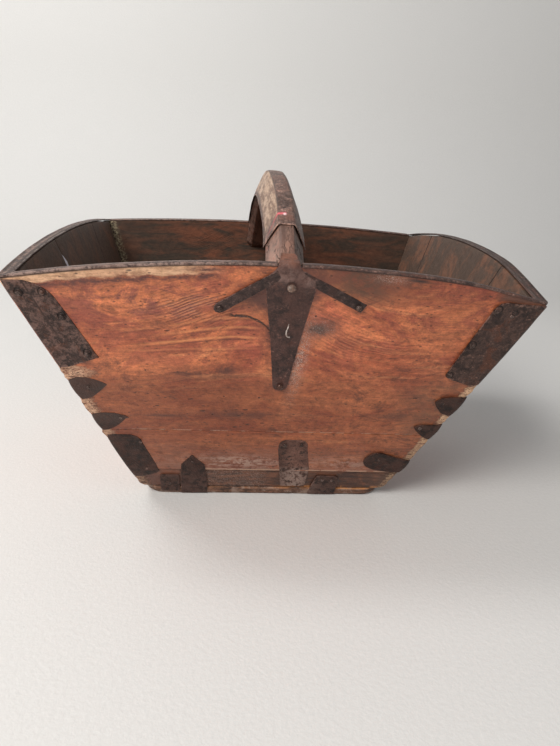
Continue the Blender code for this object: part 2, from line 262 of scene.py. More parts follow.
def spots(g, place, scale, size, amount):
    """Small round marks on a share of the cells."""
    near = g.cells(place, scale).smooth(size, size * 0.5)
    chosen = g.noise(place, scale * 0.35, 1).smooth(1 - amount, 1.02 - amount)
    return near * chosen


def wall_fields(g):
    """Grain, stains and flecks of a long wall, kept on its graph. The grain runs along the boards and
    is lifted round a knot behind the bracket."""
    x, z = g.x, g.z
    g.front = g.y.smooth(0.001, -0.001)
    lift = (x.bell(-0.028, 0.062) * 0.03 + x.bell(0.026, 0.05) * 0.015) * z.smooth(0.11, 0.235)
    drift = (g.noise(g.vector(x * 0.8, g.y * 2, z), 9, 2) - 0.5) * 0.02
    shiver = (g.noise(g.place, 75, 2) - 0.5) * 0.0018
    flow = z - lift + drift + shiver
    g.fibre = g.grain(x * 70, g.y * 20, flow * 1000, 4, 0.72)
    g.fine = g.grain(x * 16, g.y * 3, flow * 420, 5, 0.66)
    g.medium = g.grain(x * 7, g.y * 2, flow * 105, 4, 0.66, 0.4)
    g.broad = g.grain(x * 9, g.y * 2, flow * 26, 5, 0.66, 0.9)
    g.blotch = g.grain(x * 20, g.y * 5, z * 30, 6, 0.72, 1)
    g.mottle = g.noise(g.vector(x * 0.75, g.y, z), 210, 5, 0.74)
    g.speck = g.noise(g.place, 640, 3, 0.75)
    g.streak = g.grain(x * 40, 2, z * 300, 4, 0.76)
    g.flakes = g.noise(g.place, 1100, 4, 0.85)
    g.chips = g.noise(g.vector(x, 0, z), 360, 4, 0.8)
    wave = (flow * 2550 + g.medium * 13 + g.mottle * 2).do("SINE")
    ringed = g.patch(-0.07, 0.032, 0.229, 0.0125) * 1.3 + g.patch(0.07, 0.034, 0.198, 0.012) * 0.6
    ringed = (ringed + 0.05) * g.grain(x * 45, 1, z * 90, 4).smooth(0.36, 0.52)
    g.rings = wave.smooth(0.3, 0.95) * ringed
    g.ridges = wave.smooth(-0.3, -0.95) * ringed
    g.drop = x * x * (-ARCH["front"] / (RIM_X * RIM_X)) + (CORNER_Z + ARCH["front"]) - z
    g.end_gap = lean_x(g) - x.abs()


def wall_colour(g):
    """Reddish oiled wood: orange and red bands, purple stains, rings and growth lines."""
    x, z = g.x, g.z
    colour = g.mix(g.broad.smooth(0.36, 0.62), (0.345, 0.082, 0.034), (0.62, 0.188, 0.074))
    colour.layer(g.medium.smooth(0.54, 0.72) * 0.4, (0.78, 0.33, 0.14))
    colour.layer(g.blotch.smooth(0.48, 0.6) * (z.smooth(0.13, 0.22) * 0.4 + 0.26), (0.25, 0.05, 0.032))
    purple = g.blotch.smooth(0.44, 0.56) * g.patch(-0.115, 0.055, 0.234, 0.017)
    colour.layer(purple * 0.7, (0.19, 0.056, 0.048))
    dots = g.noise(g.place, 320, 2, 0.6).smooth(0.62, 0.7) * g.patch(-0.11, 0.06, 0.228, 0.018)
    colour.layer(dots * 0.55, (0.11, 0.034, 0.028))
    rosy = g.patch(0.034, 0.022, 0.222, 0.018) + g.patch(-0.03, 0.018, 0.195, 0.012) * 0.6
    colour.layer(rosy * 0.5 * g.front, (0.43, 0.085, 0.056))
    colour.layer(g.blotch.smooth(0.46, 0.35) * 0.66, (0.14, 0.042, 0.024))
    colour.shade(g.fine * 1.05 + g.fibre * 0.85 + g.mottle * 2.1 + g.speck - 1.48)
    colour.layer(g.rings * 0.55, DARK_GRAIN)
    colour.layer(g.ridges * 0.3, (0.86, 0.4, 0.19))
    # raised growth lines that climb towards the knot: height, climb, start and strength
    for low_end, climb, start, strength in ((0.205, 0.0165, -0.13, 0.5), (0.199, 0.013, -0.095, 0.75),
                                            (0.1905, 0.0125, -0.11, 0.95), (0.185, 0.006, -0.135, 0.4)):
        above = z - x.smooth(-0.135, -0.028) * climb - low_end
        above = above + (g.broad - 0.5) * 0.006 + (g.medium - 0.5) * 0.003
        shown = x.smooth(start - 0.015, start + 0.02) * x.smooth(-0.012, -0.03)
        shown = shown * g.blotch.smooth(0.36, 0.5) * g.front * strength
        colour.layer(above.bell(0, 0.0011) * shown * 0.6, (0.82, 0.32, 0.12))
        colour.layer(above.bell(-0.0024, 0.0008) * shown * 0.75, DARK_GRAIN)
    # painted light and shade: the wall's colour is made brighter in its upper part and darker lower down,
    # as the light from above falls
    level = z.smooth(0.14, 0.18) * 0.42 + 0.56 + x.smooth(0, 0.06) * z.smooth(0.17, 0.15) * 0.06
    colour.shade(level - x.smooth(0.085, 0.12) * z.smooth(0.17, 0.2) * 0.14)
    colour.layer(z.smooth(0.178, 0.14) * x.smooth(0.02, -0.04) * 0.28, (0.19, 0.04, 0.014))
    colour.shade(g.patch(0.085, 0.05, 0.195, 0.018) * 0.16 + 1)
    colour.layer(z.smooth(0.09, 0.045) * g.blotch.smooth(0.38, 0.56) * 0.45, (0.25, 0.13, 0.088))
    return colour


def rim_wear(g, colour):
    """Under the rim: a pale worn strip on the left, olive brown dirt with painted shade on the right, and
    painted shade right under the strap and at the right corner.
    """
    x, drop = g.x, g.drop
    ragged = drop + (g.grain(x * 60, 1, g.z * 110, 5, 0.72) - 0.5) * 0.012
    strip = ragged.smooth(0.0088, 0.0062) * x.smooth(-0.04, -0.085) * g.front
    fibres = (g.streak * 0.5 + g.mottle * 0.5).smooth(0.38, 0.58)
    pale = g.mix(fibres, (0.42, 0.22, 0.12), (0.86, 0.52, 0.31))
    colour.layer(strip * (g.blotch.smooth(0.36, 0.48) * 0.3 + 0.65), pale)
    stain = ragged.bell(0.01, 0.0026) * x.smooth(-0.04, -0.06) * g.front
    stain = stain.max(ragged.bell(0.004, 0.0016) * x.bell(-0.062, 0.018) * g.front)
    colour.layer(stain * g.mottle.smooth(0.34, 0.52) * 0.95, (0.095, 0.034, 0.028))
    # olive brown dirt and painted shade under the right arm, near the rim
    dirt = ragged.smooth(0.034, 0.016) * x.bell(0.06, 0.036) * g.front
    colour.layer(dirt * (g.mottle.smooth(0.38, 0.56) * 0.4 + 0.55), (0.1, 0.048, 0.028))
    # painted shade: the wood showing between the strap and the plate at the right corner is darkened
    corner = x.smooth(0.165, 0.18) * drop.smooth(0.012, 0.006) * g.front
    colour.layer(corner * 0.8, (0.11, 0.056, 0.038))
    colour.layer(x.bell(0.104, 0.01) * drop.bell(0.003, 0.0016) * g.front, (0.04, 0.02, 0.016))
    # painted shadow: a dark line on the wood right under the strap
    colour.layer(drop.smooth(0.0014, 0.0003) * 0.85, (0.035, 0.018, 0.014))


def knot_crack(g, colour):
    """A broken, curved crack left of the bracket, following the knot."""
    x = g.x
    along = x + 0.0417
    path = along * along * along * -390 + 0.2229
    crack = (g.z - path + (g.mottle - 0.5) * 0.005).abs().smooth(0.0015, 0.0005)
    crack = crack * x.smooth(-0.046, -0.04) * x.smooth(-0.004, -0.01) * g.front
    crack = crack * g.chips.smooth(0.38, 0.46)
    colour.layer(crack * 0.95, (0.035, 0.016, 0.012))
    return crack


def bracket_grime_and_shade(g, colour):
    """Dirt with painted shade round the bracket, a painted shadow left of it, pale worn flecks and burnt
    spots.
    """
    edge, up = g.x - BRACKET_X, g.z - 0.146
    # dirt and painted shade: the wood beside the bracket is darkened along its edges
    grime_and_shade = (edge.abs() - up * 0.16).smooth(0.018, 0.001) * g.z.smooth(0.138, 0.16)
    colour.layer(grime_and_shade * g.blotch.smooth(0.4, 0.54) * g.front * 0.75, (0.085, 0.03, 0.022))
    beside = (edge - up * 0.1).bell(0.0115, 0.0055) * g.z.bell(0.18, 0.036)
    beside = beside + g.x.bell(0.08, 0.012) * g.drop.bell(0.004, 0.0035) * 0.7
    colour.layer(g.flakes.smooth(0.5, 0.57) * beside * g.front, (0.52, 0.4, 0.34))
    smudge = g.patch(0.031, 0.014, 0.213, 0.0085) * g.front
    colour.layer(smudge * g.chips.smooth(0.34, 0.46) * 0.95, (0.07, 0.048, 0.04))
    colour.layer(smudge * g.flakes.smooth(0.56, 0.62), (0.4, 0.33, 0.29))
    shadow = g.patch(-0.022, 0.017, 0.238, 0.012) * g.front
    colour.layer(shadow * g.blotch.smooth(0.3, 0.5) * 0.85, (0.085, 0.034, 0.026))
    burn = g.x * 0
    for place in ((-0.075, 0.022, 0.163, 0.006), (-0.1, 0.022, 0.112, 0.0022), (-0.03, 0.03, 0.115, 0.005),
                  (-0.045, 0.012, 0.168, 0.006), (0.11, 0.016, 0.118, 0.005), (0.15, 0.02, 0.176, 0.005)):
        burn = burn + g.patch(*place)
    colour.layer(burn * g.blotch.smooth(0.4, 0.54) * 0.8 * g.front, (0.075, 0.028, 0.02))


def low_wear(g, colour):
    """Scuffed bands near the bottom and the darker lower board."""
    x, z = g.x, g.z
    broken = g.grain(x * 70, 0, z * 30, 4, 0.7)
    scuff = g.patch(-0.032, 0.045, 0.05, 0.009) + g.patch(0.08, 0.035, 0.05, 0.009) * 0.6
    colour.layer(scuff * (g.streak * 0.5 + g.mottle * 0.5).smooth(0.45, 0.55) * 0.9, (0.45, 0.3, 0.235))
    line = (z + (broken - 0.5) * 0.004).bell(0.0388, 0.0011) * broken.smooth(0.38, 0.5)
    colour.layer(line * x.smooth(-0.07, -0.06) * 0.65, (0.6, 0.39, 0.27))
    colour.layer(z.bell(0.0938, 0.0007) * broken.smooth(0.46, 0.58) * 0.6, (0.6, 0.36, 0.24))
    lower = g.mix(g.streak.smooth(0.36, 0.6), (0.026, 0.009, 0.005), (0.17, 0.062, 0.03))
    lower.layer(g.blotch.smooth(0.44, 0.54) * 0.6, (0.03, 0.012, 0.008))
    lower.layer(g.flakes.smooth(0.54, 0.6) * x.smooth(0.01, -0.01), (0.38, 0.27, 0.22))
    colour.layer(x.smooth(-0.103, -0.108) * z.smooth(0.03, 0.024) * 0.8, (0.11, 0.036, 0.022))
    rub = z.bell(0.0118, 0.0018) * broken.smooth(0.48, 0.58) * x.smooth(0, 0.05)
    lower.layer(rub * 0.9, (0.6, 0.23, 0.06))
    colour.layer(z.smooth(0.0382, 0.037) * (x.smooth(-0.092, -0.086) * 0.75 + 0.2), lower)
    return scuff


def torn_corners(g, colour):
    """The long walls are worn through to bare, split wood along their corners."""
    x, z = g.x, g.z
    tear = g.grain(x * 190, 0, z * 380, 5, 0.76)
    reach = z.bell(0.161, 0.0075) * x.smooth(0, -0.05) * 0.018 + x.smooth(0.05, -0.05) * 0.0035 + 0.0072
    torn = (g.end_gap / reach + (tear - 0.5) * 2.6).smooth(1.2, 0.7) * z.smooth(0.17, 0.166)
    split = g.grain(x * 60, 5, z * 520, 4, 0.72)
    bare = g.mix(tear.smooth(0.38, 0.58), (0.28, 0.125, 0.075), (0.78, 0.49, 0.32))
    bare.layer(x.smooth(0, 0.05) * split.smooth(0.42, 0.56) * 0.7, (0.86, 0.56, 0.33))
    bare.layer(split.smooth(0.44, 0.38).max(g.speck.smooth(0.55, 0.62)), (0.08, 0.036, 0.024))
    bare.shade(z.smooth(0.06, 0.11) * 0.4 + 0.6)
    dirt = x.smooth(0.095, 0.15) * z.smooth(0.175, 0.15) * g.blotch.smooth(0.36, 0.56) * g.front
    colour.layer(dirt * 0.55, (0.13, 0.068, 0.04))
    colour.layer(torn * 0.85, bare)
    return torn, tear


def wall_inside(g, colour):
    """The inside is darkened with use, with a crust of old glue in its left corner."""
    x = g.x
    inside = (lean_y(g) - g.y.abs()).smooth(0.003, 0.006)
    streaks = g.grain(x * 14, 6, g.z * 60, 5, 0.7, 0.8).smooth(0.36, 0.64)
    warm = streaks * (x.bell(-0.06, 0.07) * 0.55 + x.bell(0.1, 0.06) * 0.35 + 0.3)
    dark = g.mix(warm, (0.036, 0.025, 0.018), (0.15, 0.05, 0.025))
    dark.shade(g.fine + g.mottle * 1.2 + g.speck * 0.5 - 0.35)
    crust = (g.end_gap - WALL).smooth(0.0125, 0.004) * x.smooth(0, -0.05) * g.chips.smooth(0.44, 0.58)
    dark.layer(crust * 0.9, (0.33, 0.27, 0.17))
    colour.layer(inside, dark)
    return inside


def front_wood():
    """The long walls: oiled wood with worn edges, scuffs, worm holes and small nicks."""
    g = Graph("front_wood_look")
    wall_fields(g)
    colour = wall_colour(g)
    rim_wear(g, colour)
    crack = knot_crack(g, colour)
    bracket_grime_and_shade(g, colour)
    scuff = low_wear(g, colour)
    torn, tear = torn_corners(g, colour)
    holes = spots(g, g.place, 75, 0.11, 0.38)
    pits = spots(g, g.vector(g.x * 0.5, g.y, g.z), 250, 0.2, 0.5)
    nicks = spots(g, g.vector(g.x * 0.4, g.y, g.z), 130, 0.16, 0.42)
    colour.layer(holes.max(pits * 0.75).max(nicks * 0.8), (0.04, 0.016, 0.01))
    inside = wall_inside(g, colour)
    rough = g.fine * 0.25 + g.speck * 0.2 + 0.2 + torn * 0.3 + inside * 0.35 + scuff * 0.15
    height = g.fine * 0.7 + g.fibre * 0.5 + g.medium * 0.6 + g.mottle * 0.8 + g.speck * 0.5
    height = height - g.rings * 0.8 - holes * 2 - nicks * 1.2 - crack * 2.4 + tear * torn * 3
    return g.finish(colour, rough, height, 0.5 * MM, 0, 0.5 - inside * 0.35)


def end_fields(g):
    """Grain and stains of the end walls' staves, kept on the graph; the grain runs down the slope."""
    across, down = g.y, g.z
    g.side = g.x.smooth(-0.001, 0.001)
    flow = across + (g.noise(g.vector(across * 3, down * 1.5, g.side * 5), 6, 2) - 0.5) * 0.012
    g.fine = g.grain(flow * 480, down * 14, g.side * 9, 5, 0.66)
    g.medium = g.grain(flow * 95, down * 5, g.side * 9, 4, 0.64, 0.4)
    g.blotch = g.grain(across * 24, down * 18, g.side * 9, 6, 0.72, 0.9)
    g.mottle = g.noise(g.place, 210, 5, 0.74)
    g.speck = g.noise(g.place, 640, 3, 0.75)
    g.edge_gap = lean_y(g) - across.abs() - WALL


def end_outside(g):
    """Reddish brown staves, scuffed low down and torn along their edges."""
    streak = g.grain(g.y * 300, g.z * 30, g.side, 4, 0.72)
    outer = g.mix(g.medium.smooth(0.34, 0.64), (0.24, 0.068, 0.034), (0.5, 0.17, 0.076))
    outer.layer(g.blotch.smooth(0.47, 0.6) * 0.55, (0.23, 0.056, 0.038))
    outer.layer(g.blotch.smooth(0.44, 0.31) * 0.6, (0.11, 0.046, 0.03))
    outer.shade(g.fine * 0.9 + g.mottle * 1.5 + g.speck * 0.7 - 0.6)
    outer.layer(g.z.smooth(0.075, 0.012) * streak.smooth(0.44, 0.6) * 0.6, (0.36, 0.24, 0.18))
    torn = (g.edge_gap + (streak - 0.5) * 0.018).smooth(0.007, 0.001) * g.z.smooth(0.178, 0.15)
    outer.layer(torn * 0.8, (0.56, 0.34, 0.22))
    outer.layer(spots(g, g.vector(g.y, g.z, g.side), 80, 0.11, 0.36), (0.035, 0.015, 0.01))
    return outer


def end_inside(g):
    """Dark staves, darker on the left, with their joints and a pale line of glue in the corners."""
    warm = g.blotch.smooth(0.46, 0.62) * (g.side * 0.35 + 0.35)
    inner = g.mix(warm, (0.078, 0.05, 0.037), (0.185, 0.08, 0.046))
    inner.shade((g.fine * 0.45 + g.mottle * 1.3 + g.speck * 0.6 - 0.18) * (1.6 - g.side * 0.6))
    share = g.y / (lean_y(g) - WALL) + (g.mottle - 0.5) * 0.012
    for wall, shown in (("left", 1 - g.side), ("right", g.side)):
        for joint in STAVE_JOINTS[wall]:
            seam = (share - joint).abs().smooth(0.0075, 0.003)
            inner.layer(seam * shown * 0.85, (0.014, 0.01, 0.008))
    # daylight on the polished edge of the left joint
    below = g.z - 0.235
    path = below * -0.22 - below * below * 30 - 0.056
    sliver = (g.y - path).abs() - (1 - (below / 0.0095).abs()).max(0) * 0.0038
    inner.layer(sliver.smooth(0.0002, -0.0004) * (1 - g.side), (0.93, 0.9, 0.96))
    edge_line = g.edge_gap.smooth(0.0026, 0.0002) * g.mottle.smooth(0.42, 0.56)
    inner.layer(edge_line * 0.7, (0.33, 0.27, 0.19))
    return inner


def end_wood():
    """Staves of the end walls: dark inside, brown outside."""
    g = Graph("end_wood_look")
    end_fields(g)
    inside = (lean_x(g) - g.x.abs()).smooth(0.003, 0.006)
    colour = g.mix(inside, end_outside(g), end_inside(g))
    height = g.fine * 0.7 + g.medium * 0.6 + g.mottle * 0.8 + g.speck * 0.5
    return g.finish(colour, g.fine * 0.25 + 0.34 + inside * 0.15, height, 0.45 * MM, 0, 0.5 - inside * 0.3)


def base_wood():
    """Rough, dirty underside board with pale torn corners."""
    g = Graph("base_wood_look")
    place = g.vector(g.x * 40, g.y * 130, g.z * 420)
    streak = g.noise(place, 1, 5, 0.74)
    blotch = g.noise(g.place, 70, 6, 0.76)
    colour = g.mix(streak.smooth(0.36, 0.62), (0.045, 0.02, 0.013), (0.24, 0.11, 0.062))
    colour.layer(blotch.smooth(0.52, 0.6) * 0.75, (0.33, 0.23, 0.18))
    colour.layer(blotch.smooth(0.47, 0.4) * 0.8, (0.03, 0.016, 0.012))
    lip = g.z.smooth(0.0082, 0.0096) * streak.smooth(0.42, 0.56) * (g.x.smooth(0, 0.05) * 0.6 + 0.15)
    colour.layer(lip, (0.56, 0.23, 0.07))
    return g.finish(colour, 0.72, streak + blotch, 0.7 * MM)


def off_centre(g):
    """How far a point is to the right of the handle's centre line."""
    return g.x - (g.y - HANDLE_FOOT_Y) * HANDLE_SKEW - g.y.bell(BOW_Y, BOW_REACH) * BOW


def handle_wood():
    """Grey-brown wood polished by hands, with long cracks and pits."""
    g = Graph("handle_wood_look")
    across, along = off_centre(g), g.y
    place = g.vector(across, along, g.z)
    fine = g.grain(across * 420, along * 16, g.z * 200, 5, 0.7)
    medium = g.grain(across * 110, along * 9, g.z * 40, 4, 0.66, 0.3)
    blotch = g.grain(across * 80, along * 45, g.z * 50, 5, 0.72, 0.8)
    mottle = g.noise(place, 260, 4, 0.74)
    speck = g.noise(place, 700, 3, 0.75)
    colour = g.mix(medium.smooth(0.34, 0.62), (0.14, 0.082, 0.06), (0.3, 0.195, 0.15))
    # painted light: the handle's left side, which faces the key light, is painted lighter and pinker
    left = across.smooth(-0.004, -0.0075)
    colour.layer(left * mottle.smooth(0.4, 0.54) * 0.6, (0.38, 0.19, 0.14))
    right = across.smooth(0.005, 0.008) * fine.smooth(0.4, 0.56)
    colour.layer(right * 0.5, (0.25, 0.175, 0.14))
    colour.layer(blotch.smooth(0.5, 0.6) * 0.6, (0.24, 0.082, 0.055))
    colour.shade(fine * 0.9 + mottle * 1.1 + speck * 0.6 - 0.3)
    cracks = (medium - 0.5).abs().smooth(0.022, 0.005) * blotch.smooth(0.46, 0.54)
    colour.layer(cracks * 0.8, (0.04, 0.022, 0.016))
    pits = spots(g, place, 170, 0.18, 0.5)
    colour.layer(pits * 0.75, (0.05, 0.028, 0.02))
    corner = across.bell(-0.0058, 0.0006) + across.bell(0.0058, 0.0006)
    colour.layer(corner * mottle.smooth(0.44, 0.54) * 0.6, (0.06, 0.036, 0.026))
    foot = across.abs().smooth(0.0066, 0.0054) * g.z.smooth(0.306, 0.284)
    foot_colour = g.mix(medium.smooth(0.36, 0.6), (0.12, 0.06, 0.044), (0.29, 0.15, 0.105))
    colour.layer(foot * (blotch.smooth(0.34, 0.5) * 0.3 + 0.55), foot_colour)
    below = g.y.bell(-0.166, 0.01) * g.z.smooth(0.298, 0.29)
    colour.layer(below * 0.35, (0.08, 0.045, 0.035))
    height = fine * 0.7 + medium * 0.8 + mottle + speck * 0.4 - cracks * 2.2 - pits
    return g.finish(colour, fine * 0.25 + 0.36, height, 0.5 * MM)


def iron(name, dark, light, rust):
    """Old sheet iron: brown skin, mottled patches, red rust, pale specks, and pale edges that are worn
    metal and painted highlight.
    """
    g = Graph(name)
    place = g.place
    patch = g.noise(place, 42, 6, 0.74, 0.8)
    cloud = g.noise(place, 170, 5, 0.78, 0.3)
    grain = g.noise(place, 680, 3, 0.76)
    worn = tuple(min(1, c * 3) for c in light)
    colour = g.mix(cloud.smooth(0.42, 0.58), dark, light)
    colour.layer(patch.smooth(0.52, 0.6) * 0.75, rust)
    colour.layer(patch.smooth(0.46, 0.39) * 0.65, tuple(c * 0.4 for c in dark))
    colour.layer(cloud.smooth(0.56, 0.64) * grain.smooth(0.5, 0.58) * 0.65, worn)
    # worn metal and painted highlight: the sheet's border is painted pale
    rubbed_and_sheen = g.attribute("edge").smooth(0.62, 0.95) * cloud.smooth(0.46, 0.56)
    colour.layer(rubbed_and_sheen * 0.6, worn)
    colour.shade(grain * 1.6 + 0.2)
    height = cloud * 2.4 + grain * 0.7 + patch * 1.8
    return g, colour, cloud, grain, height


# nails of the front corner plates: x, height and radius
PLATE_NAILS = mm((-203, 236.5, 2.2), (-185.5, 238, 2.1), (-174.3, 216.4, 2.2), (-159.7, 181.6, 2.3),
                 (174, 238, 2.5), (189, 235.5, 1.7), (164, 202.8, 2.6), (154.3, 170.2, 2.4))


def nail_rings(g):
    """Dark hollows round the nails of the corner plates."""
    x = g.x * (g.y.smooth(0.001, -0.001) * 2 - 1)
    rings = x * 0
    for nail_x, nail_z, radius in PLATE_NAILS:
        across, up = x - nail_x, g.z - nail_z
        away = (across * across + up * up).do("SQRT")
        rings = rings.max(away.bell(radius * 1.35, 0.55 * MM))
    return rings


def plate_iron():
    g, colour, cloud, grain, height = iron(
        "plate_iron_look", (0.038, 0.02, 0.016), (0.088, 0.048, 0.037), (0.105, 0.036, 0.019))
    # painted light: the plates on the left are painted lighter, as lit from the left
    left = g.x.smooth(0, -0.05) * cloud.smooth(0.46, 0.58)
    colour.layer(left * 0.5, (0.19, 0.108, 0.088))
    # a second, shorter layer of sheet at the front left corner
    layer = (lean_x(g) - g.x.abs() - 0.0165).abs().smooth(0.001, 0.0004)
    layer = layer * g.x.smooth(-0.1, -0.11) * g.z.smooth(0.192, 0.205)
    colour.layer(layer * cloud.smooth(0.42, 0.54) * 0.8, (0.03, 0.015, 0.012))
    rings = nail_rings(g)
    colour.layer(rings * 0.85, (0.016, 0.009, 0.007))
    return g.finish(colour, cloud * 0.45 + grain * 0.2 + 0.22, height - rings * 2, 0.5 * MM, 0.05, 0.32)


def clip_iron():
    g, colour, cloud, grain, height = iron(
        "clip_iron_look", (0.014, 0.006, 0.004), (0.038, 0.017, 0.012), (0.046, 0.015, 0.009))
    upper = g.x.smooth(0, -0.05) * g.z.smooth(0.09, 0.11)
    colour.layer(upper * 0.5, (0.095, 0.058, 0.048))
    middle = g.x.bell(0.031, 0.018) * g.y.smooth(0, -0.01)
    colour.layer(middle * cloud.smooth(0.34, 0.54) * 0.8, (0.25, 0.12, 0.088))
    sheen = g.noise(g.place, 70, 3, 0.6).smooth(0.44, 0.6)
    colour.layer(sheen * 0.5, (0.08, 0.036, 0.026))
    pale = g.z.smooth(0.046, 0.04) * middle
    colour.layer(pale * cloud.smooth(0.42, 0.54) * 0.85, (0.33, 0.235, 0.195))
    low = g.z.smooth(0.045, 0.015) * g.y.smooth(0, -0.01) * (1 - middle)
    colour.layer(low * cloud.smooth(0.42, 0.56) * 0.5, (0.13, 0.07, 0.056))
    return g.finish(colour, cloud * 0.45 + grain * 0.2 + 0.24, height, 0.5 * MM, 0.05, 0.32)


def bracket_iron():
    g, colour, cloud, grain, height = iron(
        "bracket_iron_look", (0.034, 0.016, 0.013), (0.074, 0.035, 0.028), (0.085, 0.028, 0.018))
    on_front = g.y.abs().smooth(0.15, 0.16)
    place = g.x * g.y.smooth(0.01, -0.01) - BRACKET_X
    # painted highlight: the dished shoulders below the rim are painted paler, as a sheen where they turn up
    # to the light
    rubbed_and_sheen = g.z.bell(0.26, 0.0065) * place.bell(-0.005, 0.012)
    rubbed_and_sheen = rubbed_and_sheen + g.z.bell(0.256, 0.007) * place.bell(0.012, 0.006) * 0.8
    colour.layer(rubbed_and_sheen * cloud.smooth(0.3, 0.6) * on_front * 0.9, (0.27, 0.165, 0.14))
    up = g.z - 0.2508
    halo = (place * place + up * up).do("SQRT").bell(0.0041, 0.0008)
    colour.layer(halo * on_front * 0.6, (0.02, 0.01, 0.008))
    rust = g.x.bell(TONGUE_X, 0.012) * g.z.smooth(0.265, 0.273) * cloud.smooth(0.34, 0.54)
    colour.layer(rust * 0.75, (0.29, 0.12, 0.07))
    sheen = g.noise(g.place, 55, 3, 0.6).smooth(0.44, 0.6)
    colour.layer(sheen * 0.45, (0.115, 0.05, 0.038))
    return g.finish(colour, cloud * 0.4 + grain * 0.15 + 0.18, height, 0.45 * MM, 0.1, 0.4)


def arm_iron():
    g, colour, cloud, grain, height = iron(
        "arm_iron_look", (0.028, 0.015, 0.013), (0.066, 0.038, 0.032), (0.06, 0.026, 0.02))
    return g.finish(colour, cloud * 0.4 + grain * 0.15 + 0.26, height, 0.45 * MM, 0.05, 0.34)


def rim_iron():
    """Rim straps: pale along the top on the left as a painted highlight, a dark groove behind the hammered
    lip as painted shade, and a thin painted highlight along the inner edge.
    """
    g, colour, cloud, grain, height = iron(
        "rim_iron_look", (0.06, 0.033, 0.027), (0.135, 0.078, 0.062), (0.11, 0.046, 0.032))
    # painted highlight: the straps on the left are painted pale on top
    left = g.x.smooth(0.03, -0.1)
    colour.layer(left * cloud.smooth(0.4, 0.56) * 0.7, (0.32, 0.215, 0.175))
    inwards = (lean_x(g) - g.x.abs()).min(lean_y(g) - g.y.abs())
    broken = g.grain(g.x * 90, g.y * 90, g.z * 90, 4, 0.7)
    # painted shade in the groove behind the lip
    groove = inwards.bell(0.0026, 0.0016) * broken.smooth(0.38, 0.5)
    colour.layer(groove * 0.8, (0.022, 0.012, 0.01))
    inner = inwards.smooth(0.005, 0.0065) * (lean_x(g) - g.x.abs()).smooth(0.0105, 0.0095)
    colour.layer(inner * 0.75, (0.034, 0.02, 0.016))
    # painted highlight: a thin pale line along the strap's inner edge, stronger on the left
    lip = inwards.bell(0.0088, 0.0005) * broken.smooth(0.46, 0.54)
    colour.layer(lip * (g.x.smooth(0, -0.05) * 0.45 + 0.15), (0.42, 0.34, 0.3))
    return g.finish(colour, cloud * 0.4 + grain * 0.15 + 0.22, height - groove * 1.5, 0.5 * MM, 0.05, 0.34)


def sleeve_iron():
    """Sheet round the handle, with a streak of old red paint near its front edge."""
    g, colour, cloud, _, height = iron(
        "sleeve_iron_look", (0.112, 0.062, 0.048), (0.225, 0.132, 0.102), (0.185, 0.078, 0.055))
    across = off_centre(g)
    back = (g.y - SLEEVE_BOX[0].y) * 0.88 + (g.z - SLEEVE_FRONT_Z) * 0.475
    worn = g.grain(across * 300, g.y * 60, g.z * 110, 5, 0.74)
    # painted light: the sleeve's left side, which faces the light, is painted pale brown
    left = across.smooth(-0.0058, -0.0076) * across.smooth(-0.0164, -0.0152)
    painted_light_tan = g.mix(worn.smooth(0.38, 0.6), (0.19, 0.108, 0.072), (0.54, 0.37, 0.26))
    colour.layer(left * back.smooth(0.012, 0.02) * 0.9, painted_light_tan)
    pits = spots(g, g.place, 190, 0.2, 0.52)
    colour.layer(pits * left.max(0.35) * 0.85, (0.045, 0.026, 0.02))
    # painted shade: dark lines along the sleeve's bends and its left edge
    fold = across.bell(-0.0064, 0.0007) + across.bell(0.0062, 0.0006) * 0.7 + across.bell(-0.0168, 0.0006)
    colour.layer(fold * worn.smooth(0.34, 0.5) * 0.75, (0.05, 0.03, 0.025))
    path = (across * -1 - 0.007).max(0) * -1.35 + 0.0148
    paint = (back - path).bell(0, 0.0014) * across.smooth(-0.016, -0.0125) * across.smooth(0.001, -0.0005)
    red = g.mix(across.smooth(-0.0125, -0.0035), (0.3, 0.08, 0.075), (0.86, 0.14, 0.17))
    colour.layer(paint * worn.smooth(0.3, 0.46), red)
    # painted highlight: a white glint on the red paint streak
    painted_glint = (across + 0.0012).bell(0, 0.0012) * (back - 0.0138).bell(0, 0.0014)
    colour.layer(painted_glint, (1, 0.8, 0.78))
    hole = (across + 0.001).bell(0, 0.0016) * (back - 0.0235).bell(0, 0.0011)
    colour.layer(hole.smooth(0.3, 0.6), (0.03, 0.015, 0.012))
    return g.finish(colour, cloud * 0.3 + 0.3, height + worn * 1.2 - pits, 0.45 * MM, 0.05, 0.36)


def nail_iron():
    g, colour, cloud, _, height = iron(
        "nail_iron_look", (0.05, 0.03, 0.024), (0.14, 0.095, 0.08), (0.1, 0.044, 0.03))
    return g.finish(colour, cloud * 0.2 + 0.18, height, 0.3 * MM, 0.6)


def rivet_iron():
    """The bracket's big rivet, worn but still brown."""
    g, colour, cloud, grain, height = iron(
        "rivet_iron_look", (0.13, 0.09, 0.07), (0.27, 0.2, 0.165), (0.17, 0.085, 0.055))
    return g.finish(colour, cloud * 0.3 + grain * 0.1 + 0.24, height, 0.4 * MM, 0.2)


def bright_iron():
    """Rubbed nail metal, pale grey."""
    g = Graph("bright_iron_look")
    grain = g.noise(g.place, 600, 4, 0.7)
    colour = g.mix(grain.smooth(0.4, 0.58), (0.24, 0.18, 0.15), (0.66, 0.58, 0.53))
    return g.finish(colour, grain * 0.3 + 0.24, grain, 0.25 * MM, 0.4)


def floor_material():
    g = Graph("pale_floor")
    mottle = g.noise(g.place, 260, 4, 0.6)
    colour = g.mix(mottle, (0.66, 0.645, 0.62), (0.74, 0.725, 0.7))
    return g.finish(colour, 0.85, mottle, 0.4 * MM)


